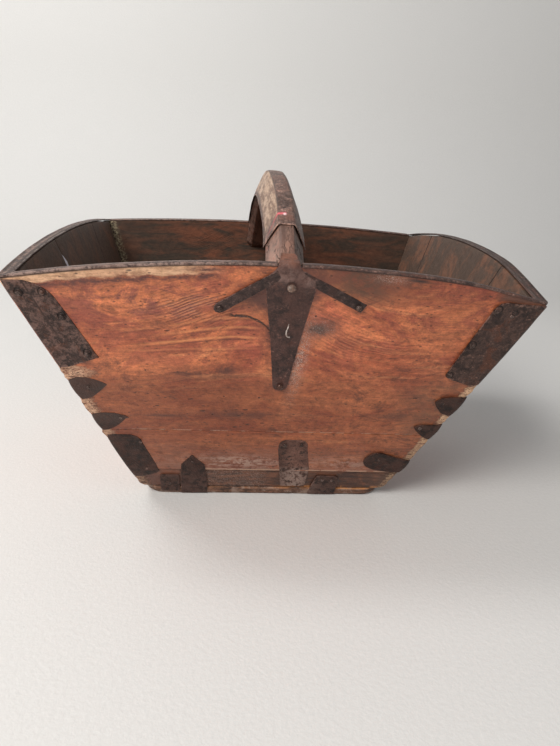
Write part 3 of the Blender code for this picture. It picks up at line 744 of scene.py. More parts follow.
LOOKS = {
    "front_wood": front_wood(), "end_wood": end_wood(), "base_wood": base_wood(),
    "handle_wood": handle_wood(), "plate": plate_iron(), "clip": clip_iron(),
    "bracket": bracket_iron(), "arm": arm_iron(), "rim_iron": rim_iron(), "sleeve": sleeve_iron(),
    "nail_iron": nail_iron(), "rivet": rivet_iron(), "bright": bright_iron(),
}
SLOT_OF = {"plate": "iron", "clip": "iron", "bracket": "iron", "arm": "iron", "sleeve": "iron",
           "rivet": "nail_iron", "bright": "nail_iron"}


# ---------------------------------------------------------------- mesh helpers

def settle(point):
    """The front right corner of the rim has dropped a little and been knocked inwards."""
    share = smooth(point.x, 0.13, 0.218) * smooth(-point.y, 0.08, 0.2) * smooth(point.z, 0.185, 0.25)
    return point + Vector((-2.6, 0.8, -3.6)) * share * MM


def add_mesh(name, bm, material):
    """Makes an object of this mesh, with smooth shading."""
    for face in bm.faces:
        face.smooth = True
    mesh = bpy.data.meshes.new(name)
    bm.to_mesh(mesh)
    bm.free()
    mesh.materials.append(material)
    made = bpy.data.objects.new(name, mesh)
    bpy.context.scene.collection.objects.link(made)
    return made


def add_piece(name, bm, look, nodes=(), bevel=0.0, solid=0.0, subdivide=0):
    """Makes the object, gives it its material and ties it to the frame. solid thickens an open sheet,
    to the other side where it is negative."""
    for vert in bm.verts:
        vert.co = settle(vert.co)
    bmesh.ops.recalc_face_normals(bm, faces=bm.faces)
    piece = add_mesh(name, bm, LOOKS[look])
    if solid:
        thick = piece.modifiers.new("thickness", "SOLIDIFY")
        thick.thickness = solid
        thick.offset = 1.0
        thick.use_even_offset = True
    if bevel:
        edge = piece.modifiers.new("edges", "BEVEL")
        edge.width = bevel
        edge.segments = 2
        edge.limit_method = "ANGLE"
        edge.angle_limit = math.radians(50)
        edge.harden_normals = True
    if subdivide:
        finer = piece.modifiers.new("finer", "SUBSURF")
        finer.levels = finer.render_levels = subdivide
    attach(piece, "root")
    SLOT_OF.get(look, look)
    if nodes:
        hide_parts(*nodes)


def box_grid(cuts, place):
    """A closed box of quads, cut at three lists of places; place turns a cut point into a point."""
    bm = bmesh.new()
    made = {}

    def corner(key):
        if key not in made:
            made[key] = bm.verts.new(place(*(cuts[n][key[n]] for n in range(3))))
        return made[key]

    for axis in range(3):
        u, v = (axis + 1) % 3, (axis + 2) % 3
        for end in (0, len(cuts[axis]) - 1):
            for i in range(len(cuts[u]) - 1):
                for j in range(len(cuts[v]) - 1):
                    ring = []
                    for du, dv in ((0, 0), (1, 0), (1, 1), (0, 1)):
                        key = [0, 0, 0]
                        key[axis], key[u], key[v] = end, i + du, j + dv
                        ring.append(corner(tuple(key)))
                    bm.faces.new(ring)
    return bm


def cuts_along(length, radius, pitch):
    """Places along an edge: close together in the rounded ends, a pitch apart between them."""
    count = max(1, round((length - 2 * radius) / pitch))
    middle = steps(radius, length - radius, count)
    return [0.0, 0.3 * radius] + middle + [length - 0.3 * radius, length]


def rounded(point, size, radius):
    """Pulls a point on a box's surface in to the rounded box inside it."""
    core = Vector([clamp(p, radius, s - radius) for p, s in zip(point, size)])
    out = Vector(point) - core
    return core + out.normalized() * radius if out.length > radius else Vector(point)


def board(name, size, radius, pitch, place, look):
    """A board with rounded edges; place(share along, share across, depth) gives a point."""
    def at(*cut):
        p = rounded(cut, size, radius)
        return place(p.x / size[0], p.y / size[1], p.z)

    cuts = [cuts_along(size[n], radius, pitch if n < 2 else size[n]) for n in range(3)]
    add_piece(name, box_grid(cuts, at), look, [name])


def loft(rings, bm=None):
    """A closed tube through rings of points, with flat ends; in a new mesh if none is given."""
    bm = bmesh.new() if bm is None else bm
    loops = [[bm.verts.new(p) for p in ring] for ring in rings]
    count = len(loops[0])
    bm.faces.new(loops[0][::-1])
    bm.faces.new(loops[-1])
    for a, b in zip(loops, loops[1:]):
        for i in range(count):
            j = (i + 1) % count
            bm.faces.new((a[i], a[j], b[j], b[i]))
    return bm


def sheet_grid(columns):
    """An open sheet of quads from columns of points, to be thickened; its border is marked."""
    bm = bmesh.new()
    border = bm.verts.layers.float.new("edge")
    grid = []
    for i, column in enumerate(columns):
        verts = []
        for j, point in enumerate(column):
            vert = bm.verts.new(point)
            vert[border] = float(i in (0, len(columns) - 1) or j in (0, len(column) - 1))
            verts.append(vert)
        grid.append(verts)
    for a, b in zip(grid, grid[1:]):
        for i in range(len(a) - 1):
            bm.faces.new((a[i], b[i], b[i + 1], a[i + 1]))
    return bm


def between(points, at):
    """Piecewise line through (place, value) points."""
    for (p0, v0), (p1, v1) in zip(points, points[1:]):
        if at <= p1:
            return v0 + (v1 - v0) * (clamp((at - p0) / (p1 - p0)) if p1 > p0 else 1.0)
    return points[-1][1]


# ---------------------------------------------------------------- walls

# Sheets folded round the front corners: the upper and lower edge of their part on the long wall, as
# distance from the corner and height
LEFT_SHEETS = {
    "corner_plate": (mm((0, 246.5), (18, 246.8), (26, 244), (31, 239), (33.5, 233), (38.5, 179), (39, 177)),
                     mm((0, 165), (10, 166.5), (30, 173.8), (39, 176.8))),
    "upper_clip": (mm((0, 152), (10, 155.3), (18, 154.8), (26, 152), (31.5, 148)),
                   mm((0, 130), (4, 130.2), (12, 133), (22, 140), (30, 146.2), (31.5, 147.5))),
    "middle_clip": (mm((0, 112), (10, 114.2), (22, 114), (30, 111.2), (32.5, 109)),
                    mm((0, 92), (5, 92.5), (12, 95), (20, 100), (30, 108), (32.5, 108.5))),
    "lower_clip": (mm((0, 84), (4, 86.5), (24, 86.2), (29.5, 83), (31, 79), (30, 60), (30.5, 45)),
                   mm((0, 27), (8, 26.2), (24, 31), (29, 34), (30.5, 44))),
}
RIGHT_SHEETS = {
    "corner_plate": (mm((0, 246.8), (34, 247.2), (39.5, 245.5), (41, 240)),
                     mm((0, 160.5), (4, 159), (10, 159.5), (34, 167.2), (37, 170), (41, 239))),
    "upper_clip": (mm((0, 144), (12, 144), (21, 142.5), (25, 138.5)),
                   mm((0, 121.5), (4, 122), (12, 125), (21, 132.5), (25, 137.5))),
    "middle_clip": (mm((0, 108.8), (12, 108), (21, 108), (25, 105)),
                    mm((0, 89.5), (4, 90), (12, 94.5), (21, 101), (25, 104.5))),
    "lower_clip": (mm((0, 57), (20, 62.5), (34, 67.2), (42, 67.8), (46.5, 64), (48, 58.5)),
                   mm((0, 39.8), (15, 40.5), (32, 43.8), (42, 48.5), (46.5, 54), (48, 58))),
}
END_REACH = {"corner_plate": 0.036, "upper_clip": 0.026, "middle_clip": 0.026, "lower_clip": 0.028}


def bareness(x, side, z):
    """1 where no sheet covers a corner of the long walls, 0 under the sheets."""
    sheets = LEFT_SHEETS if x * side > 0 else RIGHT_SHEETS
    clear = min(max(bottom[0][1] - z, z - top[0][1]) for top, bottom in sheets.values())
    return smooth(clear, -0.2 * MM, 2.5 * MM) * smooth(z, 0.175, 0.168)


def long_board(name, side, low_z, top, recess=0.0, radius=1.2 * MM, round_low=0.0):
    """One board of the front or back wall; top(share) is the height of its upper edge."""
    size = (2 * wall_x((low_z + top(0.0)) / 2), top(0.0) - low_z, WALL)
    seed = side * 3.0 + low_z * 40

    def place(a, b, depth):
        share = 2 * a - 1
        z = low_z + (top(share) - low_z) * b
        x = share * wall_x(z)
        # bare ends are torn and swell a little past the sheets
        edge = smooth(abs(share), 0.9, 1.0)
        torn = 0.9 + 1.3 * wobble((side, math.copysign(1.0, x), z), 150, 2.0)
        torn += 0.7 * wobble((x, 0, z), 600)
        swell = bareness(x, side, z) * edge * torn * MM
        x += math.copysign(swell, x)
        if round_low:
            low_end = smooth(abs(x), wall_x(low_z) - round_low, wall_x(low_z) + 3 * MM)
            z += low_end * low_end * (1 - b) * round_low * 0.5
        depth += (0.2 + 0.3 * wobble((x, 0, z), 22, seed) + 0.15 * wobble((x, 0, z), 90, seed)) * MM
        depth -= 0.5 * swell + bareness(x, side, z) * edge * 0.6 * wobble((x, 0, z), 330, seed) * MM
        return (x, side * (wall_y(z) - recess - depth), z)

    board(name, size, radius, 3.6 * MM, place, "front_wood")


def long_wall(wall, side):
    long_board(wall + "_upper_board", side, MIDDLE_JOINT_Z + 0.1 * MM, lambda share: rim_z(wall, share),
               radius=0.7 * MM)
    long_board(wall + "_middle_board", side, LOWER_JOINT_Z + 0.3 * MM, lambda share: MIDDLE_JOINT_Z,
               radius=0.7 * MM)
    long_board(wall + "_lower_board", side, BASE_T + 0.3 * MM, lambda share: LOWER_JOINT_Z,
               LOWER_RECESS, 1.6 * MM, 9 * MM)


def end_wall(wall, side):
    low = BASE_T + 0.3 * MM
    half = wall_y(0.13) - WALL    # of the wall's inside, at about half its height
    cuts = (-1.0,) + STAVE_JOINTS[wall] + (1.0,)
    for label, start, stop in zip(("front", "middle", "back"), cuts, cuts[1:]):
        name = wall + "_end_" + label + "_stave"
        size = ((stop - start) * half, CORNER_Z - low, WALL)
        seed = side * 5.0 + start

        def place(a, b, depth, start=start, stop=stop, seed=seed):
            share = start + (stop - start) * a
            z = low + (rim_z(wall, share) - low) * b
            y = share * (wall_y(z) - WALL - 0.3 * MM)
            wear = smooth(z, 0.03, low) * (2.2 + 1.2 * wobble((0, y, z), 120, seed)) * MM
            depth += wear * (1.0 - depth / WALL)
            here = (side, y, z)
            depth += (0.2 + 0.35 * wobble(here, 24, seed) + 0.12 * wobble(here, 90, seed)) * MM
            return (side * (wall_x(z) - depth), y, z)

        board(name, size, 0.8 * MM, 4.2 * MM, place, "end_wood")


def base_board():
    """Rounded corners in plan, a worn lower edge and a rough face."""
    corner_r = 20 * MM
    rings = []
    for inset, z in mm((6, 0), (1.6, 0), (0.5, 0.9), (0, 2.6), (0.2, 6), (0.4, 9.2), (1.4, BASE_T / MM)):
        arcs = []
        for turn, sx, sy in ((0, 1, 1), (90, -1, 1), (180, -1, -1), (270, 1, -1)):
            middle = Vector((sx * (wall_x(z) - inset - corner_r), sy * (wall_y(z) - inset - corner_r), z))
            angles = [math.radians(angle) for angle in steps(turn, turn + 90, 8)]
            arcs.append([middle + Vector((math.cos(a), math.sin(a), 0)) * corner_r for a in angles])
        ring = []
        for arc, following in zip(arcs, arcs[1:] + arcs[:1]):
            ring += arc + [arc[-1].lerp(following[0], k / 40) for k in range(1, 40)]
        if 0 < z < 0.95 * BASE_T:
            for p in ring:
                out = Vector((p.x, p.y, 0)).normalized()
                rough = 0.5 * wobble(p, 150, 1.0) + 0.35 * wobble((p.x, p.y, p.z * 4), 420, 2.0) - 0.5
                p += out * rough * MM
        rings.append(ring)
    add_piece("base_board", loft(rings), "base_wood", ["base_board"])


# ---------------------------------------------------------------- rim straps

def strap_ring(near, far, z, rise=0.0):
    """Strap section from the outer edge to the inner one: a worn flat bar with a hammered outer lip.
    rise lifts the inner edge."""
    thick = 1.7 * MM
    points = []
    for share, height in ((0.02, -0.25), (0.0, 0.3), (0.03, 0.85), (0.12, 1.1), (0.24, 0.92), (0.6, 1.0),
                          (0.92, 0.95), (1.0, 0.55), (0.97, 0.05), (0.2, 0.05), (0.12, -0.2)):
        points.append((near + (far - near) * share, z + height * thick + rise * share))
    return points


def strap(name, rings):
    add_piece(name, loft(rings), "rim_iron", [name], bevel=0.3 * MM)


def rim_straps():
    """The end straps run over the corners; the long ones meet them there and stop at the brackets."""
    over = 1.0 * MM
    stop = 1.0 - (WALL + 0.6 * MM) / RIM_X
    for wall, side in LONG_WALLS:
        first, second = STRAP_STARTS if side < 0 else (-STRAP_STARTS[1], -STRAP_STARTS[0])
        for end, begin, finish in (("left", -stop, first), ("right", second, stop)):
            rings = []
            for share in steps(begin, finish, 70):
                z = rim_z(wall, share) + STAND
                x = share * wall_x(z)
                lift = 0.25 * wobble((x, side, 0), 35, 1.0) * MM
                sway = 0.25 * wobble((x, side, 0), 50, 4.0) * MM
                ring = strap_ring(wall_y(z) + over + sway, wall_y(z) - WALL - 0.2 * MM, z + lift)
                rings.append([(x, side * y, height) for y, height in ring])
            strap(wall + "_" + end + "_rim_strap", rings)
    for wall, side in END_WALLS:
        rings = []
        for share in steps(-1.0, 1.0, 120):
            z = rim_z(wall, share) + STAND
            y = share * (wall_y(z) + over)
            lift = 0.25 * wobble((side, y, 0), 35, 1.0) * MM
            level = rim_z("front" if y < 0 else "back", stop) + STAND
            rise = max(level - z, 0.0) * smooth(abs(y), RIM_Y - WALL - 3 * MM, RIM_Y - WALL)
            # the corner itself is hammered round
            pull = 2.5 * MM * smooth(abs(share), 0.985, 1.0) ** 2
            ring = strap_ring(wall_x(z) + over - pull, wall_x(z) - WALL - 0.2 * MM, z + lift, rise)
            rings.append([(side * x, y, height) for x, height in ring])
        strap(wall + "_end_rim_strap", rings)


# ---------------------------------------------------------------- sheet iron

def dent(point, seed):
    return (0.38 * wobble(point, 42, seed) + 0.2 * wobble(point, 130, seed)) * MM


def lift_corner(sx, sy, seed, bulge):
    """Folds a flat outline round a corner: q < 0 lies on the long wall, q > 0 on the end wall.
    bulge(z) swells the fold."""
    radius = 2.6 * MM

    def lift(q, z, stand):
        if abs(q) >= radius:
            in_x, in_y = (-q, 0.0) if q < 0 else (0.0, q)
            out_x, out_y = (0.0, 1.0) if q < 0 else (1.0, 0.0)
        else:
            turn = (q / radius + 1) * math.pi / 4
            in_x, in_y = radius * (1 - math.sin(turn)), radius * (1 - math.cos(turn))
            out_x, out_y = math.sin(turn), math.cos(turn)
        flat = (sx * (wall_x(z) - in_x), sy * (wall_y(z) - in_y), z)
        stand += dent(flat, seed)
        swell = bulge(z) * smooth(abs(q), 12 * MM, 0.0)
        x = flat[0] + sx * (out_x * stand + swell)
        return Vector((x, flat[1] + sy * (out_y * stand + 0.4 * swell), z))
    return lift


def lift_long(side, seed, bulge=None):
    """Lays an outline in x and z on the front or back wall; bulge(z) lifts it off the wall."""
    def lift(x, z, stand):
        extra = bulge(z) if bulge else 0.0
        return Vector((x, side * (wall_y(z) + stand + extra + dent((x, side, z), seed)), z))
    return lift


def ragged_edge(w, width, z, seed):
    """Small unevenness of a sheet's far edge."""
    return smooth(w, width * 0.7, width) * 0.5 * wobble((0, 0, z), 140, seed) * MM


def corner_sheet(name, sx, sy, top, bottom, reach, seed):
    """A sheet folded round a corner. top and bottom run from the corner along the long wall, as
    (distance, height), and meet at their far ends; the wing on the end wall is a rounded tab."""
    width = top[-1][0]
    high, low = top[0][1], bottom[0][1]
    tip = 0.3 * (high - low)
    end_top = [(0.0, high), (reach * 0.72, high - 0.04 * (high - low)), (reach, high - tip)]
    end_bottom = [(0.0, low), (reach * 0.72, low + 0.04 * (high - low)), (reach, low + tip)]
    middle, half = (high + low) / 2, (high - low) / 2
    height = 0.4 * MM if "plate" in name else 1.2 * MM
    lift = lift_corner(sx, sy, seed, lambda z: height * (1 - ((z - middle) / half) ** 2))
    fold = [0.9 * MM, 1.8 * MM, 2.6 * MM]

    def places(end):
        count = max(6, round((end - 2.6 * MM) / (2.2 * MM)))
        eased = [1 - (1 - t) ** 1.5 for t in steps(0, 1, count)]
        return fold + [2.6 * MM + (end - 2.6 * MM) * t for t in eased[1:]]

    columns = []
    rows = 12
    for w in reversed(places(width)):
        lo, hi = between(bottom, w), between(top, w)
        hi = max(hi, lo + 0.4 * MM)
        columns.append([lift(-w - ragged_edge(w, width, z, seed), z, STAND) for z in steps(lo, hi, rows)])
    columns.append([lift(0.0, z, STAND) for z in steps(low, high, rows)])
    for w in places(reach):
        lo, hi = between(end_bottom, w), between(end_top, w)
        columns.append([lift(w, z, STAND) for z in steps(lo, hi, rows)])
    add_piece(name, sheet_grid(columns), "plate" if "plate" in name else "clip", [name],
              bevel=0.45 * MM, solid=-SHEET * sx * sy)


def corners():
    """The back corners repeat the front ones, turned half round."""
    for wall, sy in LONG_WALLS:
        for end, sx in END_WALLS:
            sheets = LEFT_SHEETS if sx == sy else RIGHT_SHEETS
            for n, (kind, (top, bottom)) in enumerate(sheets.items()):
                corner_sheet(wall + "_" + end + "_" + kind, sx, sy, top, bottom, END_REACH[kind],
                             n + 2.0 * sx + 7.0 * sy)


def flat_sheet(name, side, stations, bulge, seed):
    """A plate on a long wall from (height, left, right) stations, lowest first."""
    lift = lift_long(side, seed, bulge)
    heights = steps_through([z for z, _, _ in stations], 2.5 * MM)
    left = [(z, a) for z, a, _ in stations]
    right = [(z, b) for z, _, b in stations]
    columns = [[lift(x, z, STAND) for x in steps(between(left, z), between(right, z), 8)] for z in heights]
    add_piece(name, sheet_grid(columns), "clip", [name], bevel=0.4 * MM, solid=SHEET * side)


# Clips at the bottom edge of the front wall: height, left and right, lowest first
BOTTOM_CLIPS = {
    "square_clip": mm((3.2, -108, -90), (6, -109.2, -89.3), (26, -109.2, -89.3), (28.8, -108, -90)),
    "pointed_clip": mm((0.7, -88, -61), (10, -87.8, -60.5), (30, -87.5, -61.5), (45.5, -86.8, -63.2),
                       (50, -83.5, -67.5), (56, -78.5, -73), (59, -76.5, -74.8)),
    "long_clip": mm((13, 19, 41), (14.5, 16.5, 43), (40, 13.5, 44.5), (70, 9.5, 39.5), (77, 10, 39),
                    (81, 12.5, 36.5), (83.2, 16.5, 32)),
    "tapered_clip": mm((0.7, 47.5, 76.5), (12, 49, 77), (26, 53, 78), (29.8, 54.5, 74.5)),
}


def fold_back(z):
    """The long clip folds where the lower board stands back."""
    return -0.9 * MM * smooth(z, 0.042, 0.036)


def bottom_clips():
    """The back has the same clips, turned half round, but no square one."""
    for name, stations in BOTTOM_CLIPS.items():
        bulge = fold_back if name == "long_clip" else None
        flat_sheet("front_" + name, -1, stations, bulge, len(name))
        if name != "square_clip":
            turned = [(z, -b, -a) for z, a, b in stations]
            flat_sheet("back_" + name, 1, turned, bulge, len(name) + 3.0)


# ---------------------------------------------------------------- handle

def handle_end_y(side):
    return side * (wall_y(HANDLE_END_Z[side]) - WALL - STAND)


def handle_frame(y):
    """A point on the handle's top face and the downward normal there."""
    side = -1 if y < HANDLE_TOP_Y else 1
    reach = handle_end_y(side) - HANDLE_TOP_Y
    fall = (HANDLE_TOP_Z - HANDLE_END_Z[side]) / (reach * reach)
    offset = y - HANDLE_TOP_Y
    slope = -2.0 * fall * offset
    length = math.hypot(1.0, slope)
    sway = BOW * math.exp(-((y - BOW_Y) / BOW_REACH) ** 2)
    top = Vector((HANDLE_SKEW * (y - HANDLE_FOOT_Y) + sway, y, HANDLE_TOP_Z - fall * offset * offset))
    return top, Vector((0.0, slope / length, -1.0 / length))


def handle():
    """An eight-sided bar with steep upper sides and softened edges; its ends lie against the walls."""
    half = HANDLE_W / 2
    right = [(half - 10.2 * MM, 0), (half, 21 * MM), (half, HANDLE_T - 6 * MM), (half - 6 * MM, HANDLE_T)]
    corners8 = [Vector(p) for p in right + [(-a, d) for a, d in reversed(right)]]
    section = []
    for i, here in enumerate(corners8):
        before = (corners8[i - 1] - here).normalized()
        after = (corners8[(i + 1) % 8] - here).normalized()
        section += [here + before * 1.8 * MM, here + before * 0.5 * MM + after * 0.1 * MM,
                    here + after * 0.5 * MM + before * 0.1 * MM, here + after * 1.8 * MM]
    rings = []
    for y in steps(handle_end_y(-1), handle_end_y(1), 90):
        top, normal = handle_frame(y)
        ring = []
        for a, d in section:
            p = top + normal * d + Vector((a, 0, 0))
            p += Vector((a, 0, 0)).normalized() * 0.3 * wobble((a * 2, p.y, d), 28, 3.0) * MM
            p += normal * (0.35 * wobble((a * 3, p.y, d * 2), 24, 6.0) + 0.2) * MM
            ring.append(p)
        rings.append(ring)
    lean = (RIM_Y - BASE_Y) / CORNER_Z
    for side, index, inner in ((-1, 0, 1), (1, -1, -2)):
        for i, point in enumerate(rings[index]):
            start = rings[inner][i]
            run = point - start
            limit = wall_y(start.z) - WALL - STAND
            rings[index][i] = start + run * (limit - side * start.y) / (side * run.y - lean * run.z)
    add_piece("handle", loft(rings), "handle_wood", ["handle"])


def sleeve():
    """Sheet bent over the handle, standing clear of its sides; the front edge is a little flared."""
    right = mm((17.3, 24), (15.6, 19.4), (13.9, 14.8), (12.1, 10.6), (10.3, 6.4), (8.7, 2.9), (7.8, 1.1),
               (6.6, -0.4), (4.8, -0.8), (3, -0.9), (1, -1))
    section = right + [(-a, d) for a, d in reversed(right)]
    columns = []
    for y in steps(SLEEVE_BOX[0].y, SLEEVE_BOX[1].y, 70):
        top, normal = handle_frame(y)
        flare = smooth(y, SLEEVE_BOX[0].y + 7 * MM, SLEEVE_BOX[0].y) * MM
        points = []
        for a, d in section:
            ripple = 0.3 * wobble((a * 3, y, d * 2), 40, 9.0) * MM + 0.2 * MM
            # the front left corner is bent outwards
            spread = ripple + flare * (0.6 if a > 0 else 0.3) * clamp(d / 0.024)
            points.append(top + normal * (d - ripple) + Vector((math.copysign(abs(a) + spread, a), 0, 0)))
        columns.append(points)
    add_piece("handle_sleeve", sheet_grid(columns), "sleeve", ["handle_sleeve"],
              bevel=0.3 * MM, solid=-0.8 * MM)


# ---------------------------------------------------------------- brackets, arms and nails

# height and half width, lowest first
BRACKET_OUTLINE = mm((146.3, 2.2), (147.5, 4.6), (150, 6.2), (152.5, 6.9), (169.5, 8.7), (201.5, 12.6),
                     (220.5, 15.6), (240, 18.4), (248, 19.5), (253, 20), (256.5, 19.4), (259, 17.2),
                     (261.5, 13.8), (264, 10.8), (267.2, 8.6))


def bracket_plate(wall, side):
    """Columns of the dished plate, from its point up to the rim; its neck leans to the handle."""
    drop = ARCH[wall] - ARCH["front"]
    columns = []
    for z in steps_through([z for z, _ in BRACKET_OUTLINE], 2.2 * MM):
        half = between(BRACKET_OUTLINE, z)
        middle = -side * (BRACKET_X + (TONGUE_X - BRACKET_X) * smooth(z, 0.252, 0.266))
        column = []
        for s in steps(-1.0, 1.0, 14):
            crown = (1 - s * s) * (0.6 + 1.4 * smooth(z, 0.225, 0.25)) * MM
            stand = STAND + crown + dent((s * half, side, z), 11)
            column.append(Vector((middle + s * half, side * (wall_y(z + drop) + stand), z + drop)))
        columns.append(column)
    return columns


def bracket_tongue(wall, side):
    """Columns of the tongue, from the rim over on to the handle."""
    top_z = rim_z(wall, 0.0)
    foot_y = handle_end_y(side)
    start, normal = handle_frame(foot_y)
    corner = Vector((0, side * (wall_y(top_z) + 0.8 * MM), top_z + 2.4 * MM))
    landing = start - normal * 0.6 * MM
    landing.z = max(landing.z, top_z + 3.0 * MM)
    stations = []
    for t in steps(0.0, 1.0, 5):
        point = corner.lerp(landing, t)
        point.z += 0.6 * MM * math.sin(math.pi * t)
        stations.append((point, 8.2 - 1.6 * t, 0.7))
    for reach in steps(0.25, 1.0, 4):
        on_handle, normal = handle_frame(foot_y - side * reach * 5.5 * MM)
        stations.append((on_handle - normal * 0.5 * MM, 6.4 - 1.6 * smooth(reach, 0.5, 1.0), 0.0))
    return [[Vector((-side * TONGUE_X + s * half * MM, point.y, point.z + crown * MM * (1 - s * s)))
             for s in steps(-1.0, 1.0, 14)] for point, half, crown in stations]


def bracket(wall, side):
    """A tapered plate with a dished face; its tongue bends over the rim on to the handle."""
    columns = bracket_plate(wall, side) + bracket_tongue(wall, side)
    add_piece(wall + "_bracket", sheet_grid(columns), "bracket", [wall + "_bracket"],
              bevel=0.6 * MM, solid=(BRACKET_T - 0.2 * MM) * side)


ARMS = {"left": ((-0.006, 0.2608), (-0.0548, 0.2277)), "right": ((0.011, 0.2605), (0.0645, 0.2333))}
ARM_NAILS = {"left": (-0.0508, 0.2305), "right": (0.0598, 0.2352)}


def turned_end(end, side):
    """The back's ends are the front's, turned half round."""
    return end if side < 0 else {"left": "right", "right": "left"}[end]


def arms(wall, side):
    drop = ARCH[wall] - ARCH["front"]
    for end, ((x0, z0), (x1, z1)) in ARMS.items():
        length = math.hypot(x1 - x0, z1 - z0)
        ux, uz = (x1 - x0) / length, (z1 - z0) / length
        lift = lift_long(side, 13 + len(end))
        columns = []
        for t in steps(0.0, 1.0, 26):
            half = (3.9 + 0.5 * t + 0.3 * wobble((t, 0, 0), 6.0, len(end))) * MM
            if end == "left":
                half *= math.sqrt(1 - 0.96 * clamp((t - 0.91) / 0.09) ** 2)
            column = []
            for s in steps(-1.0, 1.0, 6):
                x = x0 + ux * length * t - uz * half * s
                z = z0 + uz * length * t + ux * half * s
                column.append(lift(x if side < 0 else -x, z + drop, STAND + 0.3 * MM * (1 - s * s)))
            columns.append(column)
        name = wall + "_" + turned_end(end, side) + "_arm"
        thick = SHEET if end == "left" else -SHEET
        add_piece(name, sheet_grid(columns), "arm", [name], bevel=0.45 * MM, solid=thick)


def nail_head(bm, centre, normal, radius, height, seed):
    """A hammered head: an uneven low dome."""
    normal = normal.normalized()
    side_a = normal.orthogonal().normalized()
    side_b = normal.cross(side_a)
    count = 18
    rings = []
    for share, up in ((1.0, -0.25), (1.04, 0.15), (0.95, 0.5), (0.74, 0.82), (0.42, 0.98), (0.12, 1.02)):
        ring = []
        for i in range(count):
            angle = 2 * math.pi * i / count
            uneven = 1 + 0.1 * wobble((math.cos(angle), math.sin(angle), share), 1.4, seed)
            ring.append(centre + normal * height * up
                        + (side_a * math.cos(angle) + side_b * math.sin(angle)) * radius * share * uneven)
        rings.append(ring)
    loft(rings, bm)


def long_normal(side):
    return Vector((0.0, side * CORNER_Z, -(RIM_Y - BASE_Y))).normalized()


def end_normal(side):
    return Vector((side * CORNER_Z, 0.0, -(RIM_X - BASE_X))).normalized()


def nails():
    on_bracket = BRACKET_T + STAND + 1.0 * MM
    for wall, side in LONG_WALLS:
        drop = ARCH[wall] - ARCH["front"]
        heads = [(wall + "_bracket_nail", BRACKET_X, 0.1525, 3.0, 1.3, on_bracket - 0.6 * MM, "nail_iron"),
                 (wall + "_bracket_rivet", BRACKET_X, 0.2518, 3.4, 2.0, on_bracket + 0.6 * MM, "rivet")]
        for end, (x, z) in ARM_NAILS.items():
            name = wall + "_" + turned_end(end, side) + "_arm_nail"
            heads.append((name, x, z, 2.6, 1.6, ON_SHEET + 0.3 * MM, "nail_iron"))
        for name, x, z, radius, height, stand, look in heads:
            bm = bmesh.new()
            centre = Vector((-side * x, side * wall_y(z + drop), z + drop)) + long_normal(side) * stand
            nail_head(bm, centre, long_normal(side), radius * MM, height * MM, x * 900 + side)
            add_piece(name, bm, look, [name])


def sheet_nails():
    """Small nails of the corner plates and clips, one piece for each wall."""
    on_long = PLATE_NAILS + mm(
        (-164, 145.5, 1.4), (-140, 109.5, 1.4), (-124.5, 78.5, 1.6), (-121.5, 40, 1.4), (158, 137, 1.5),
        (145, 104.2, 2), (114, 57.5, 1.3), (16, 77, 2), (32.5, 77.5, 2), (-75.5, 51.5, 1.4),
        (60, 25.5, 1.6), (70.5, 25.5, 1.6), (-99, 18, 1.2))
    for wall, side in LONG_WALLS:
        bm = bmesh.new()
        for x, z, radius in on_long:
            place = Vector((-side * x, side * wall_y(z), z)) + long_normal(side) * ON_SHEET
            nail_head(bm, place, long_normal(side), radius, 0.38 * radius, x * 700 + z)
        add_piece(wall + "_sheet_nails", bm, "nail_iron")
    for wall, side in END_WALLS:
        bm = bmesh.new()
        for sy in (-1, 1):
            for z, inset in mm((232, 20), (180, 20), (137, 15), (101, 15), (50, 15)):
                place = Vector((side * wall_x(z), sy * (wall_y(z) - inset), z))
                place += end_normal(side) * ON_SHEET
                nail_head(bm, place, end_normal(side), 2.0 * MM, 0.8 * MM, z * 500 + sy)
        add_piece(wall + "_end_sheet_nails", bm, "nail_iron")


def bent_nail():
    """A wire nail driven into the front bracket and bent over."""
    out = long_normal(-1)
    down = Vector((0.0, RIM_Y - BASE_Y, -CORNER_Z)).normalized()
    start_z = 0.219
    start = Vector((BRACKET_X + 0.5 * MM, -wall_y(start_z), start_z)) + out * (BRACKET_T + 0.6 * MM)
    route = mm((0.6, 0, 0), (0.3, 2.2, 1), (-0.5, 3.2, 3.2), (-1.2, 3.4, 5.6), (-1.1, 3.2, 8),
               (-0.5, 3, 10.2), (0.4, 2.8, 11.8), (1.6, 2.6, 12.2), (2.4, 2.5, 11.6))
    points = [start + Vector((a, 0, 0)) + out * o + down * d for a, o, d in route]
    rings = []
    for i, centre in enumerate(points):
        along = (points[min(i + 1, len(points) - 1)] - points[max(i - 1, 0)]).normalized()
        side_a = (Vector((1, 0, 0)) - along * along.x).normalized()
        side_b = along.cross(side_a)
        radius = (0.4 + 0.07 * i if i < len(points) - 1 else 0.6) * MM
        angles = [math.pi * k / 5 for k in range(10)]
        rings.append([centre + (side_a * math.cos(a) + side_b * math.sin(a)) * radius for a in angles])
    add_piece("bent_nail", loft(rings), "bright", ["bent_nail"], subdivide=1)


# ---------------------------------------------------------------- stage, light and camera

def stage():
    """A pale floor that curves up into a backdrop."""
    profile = [(-3.0, 0.0), (1.0, 0.0)]
    profile += [(1.0 + 0.6 * math.sin(a), 0.6 - 0.6 * math.cos(a)) for a in steps(0.1, math.pi / 2, 14)]
    profile.append((1.6, 3.0))
    bm = bmesh.new()
    rows = [[bm.verts.new((x, y, z)) for y, z in profile] for x in (-4.0, 4.0)]
    for i in range(len(profile) - 1):
        bm.faces.new((rows[0][i], rows[1][i], rows[1][i + 1], rows[0][i + 1]))
    floor = add_mesh("floor", bm, floor_material())


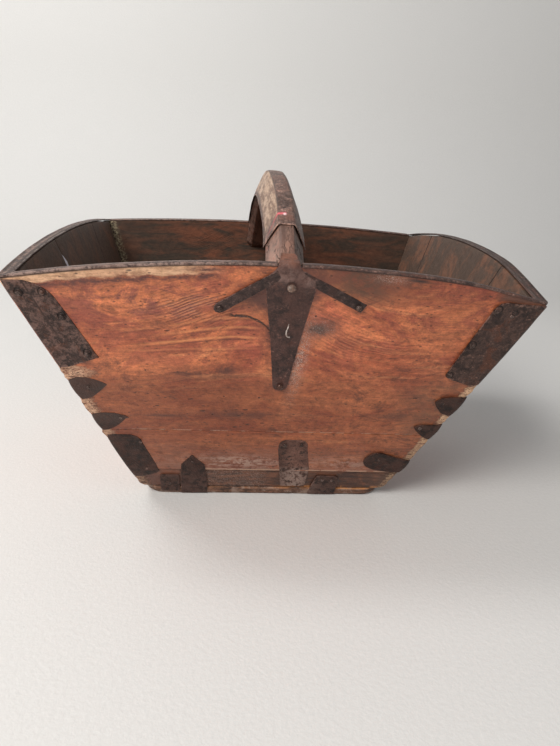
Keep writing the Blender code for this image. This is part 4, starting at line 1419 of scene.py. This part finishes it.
def area_light(name, place, target, size, power, colour=(1.0, 1.0, 1.0)):
    lamp = bpy.data.lights.new(name, "AREA")
    lamp.shape = "RECTANGLE"
    lamp.size, lamp.size_y = size
    lamp.energy = power
    lamp.color = colour
    light = bpy.data.objects.new(name, lamp)
    light.location = place
    light.rotation_euler = (Vector(target) - Vector(place)).to_track_quat("-Z", "Y").to_euler()
    bpy.context.scene.collection.objects.link(light)


def light():
    area_light("key", (-1.1, -1.35, 1.45), (0, 0, 0.17), (0.9, 0.9), 40, (1.0, 0.98, 0.95))
    area_light("fill", (1.5, -1.0, 0.8), (0, 0, 0.1), (1.2, 1.0), 3, (0.96, 0.98, 1.0))
    area_light("wall_wash", (-1.3, 0.1, 1.9), (-0.2, 1.6, 0.9), (0.8, 0.8), 25)
    world = bpy.data.worlds.new("soft")
    world.use_nodes = True
    world.node_tree.nodes["Background"].inputs["Color"].default_value = (0.92, 0.95, 1.0, 1.0)
    world.node_tree.nodes["Background"].inputs["Strength"].default_value = 0.26
    bpy.context.scene.world = world
    bpy.context.scene.view_settings.view_transform = "Standard"


def camera():
    """A phone's wide view: above the rim, a little left of the middle and slightly tilted."""
    place = Vector((-0.0445, -0.6597, 0.3465))
    pitch, yaw, roll = math.radians(19.9), math.radians(5.45), math.radians(-3.55)
    forward = Vector((math.sin(yaw) * math.cos(pitch), math.cos(yaw) * math.cos(pitch), -math.sin(pitch)))
    level = Vector((math.cos(yaw), -math.sin(yaw), 0.0))
    down = forward.cross(level)
    right = level * math.cos(roll) + down * math.sin(roll)
    down = down * math.cos(roll) - level * math.sin(roll)
    lens = bpy.data.cameras.new("camera")
    lens.sensor_width = 36
    lens.lens = 29.15
    lens.clip_start = 0.01
    view = bpy.data.objects.new("camera", lens)
    axes = Matrix((right, -down, -forward)).transposed()
    view.matrix_world = Matrix.Translation(place) @ axes.to_4x4()
    bpy.context.scene.collection.objects.link(view)
    bpy.context.scene.camera = view


base_board()
for wall, side in LONG_WALLS:
    long_wall(wall, side)
    bracket(wall, side)
    arms(wall, side)
for wall, side in END_WALLS:
    end_wall(wall, side)
rim_straps()
corners()
bottom_clips()
handle()
sleeve()
nails()
sheet_nails()
bent_nail()
stage()
light()
camera()
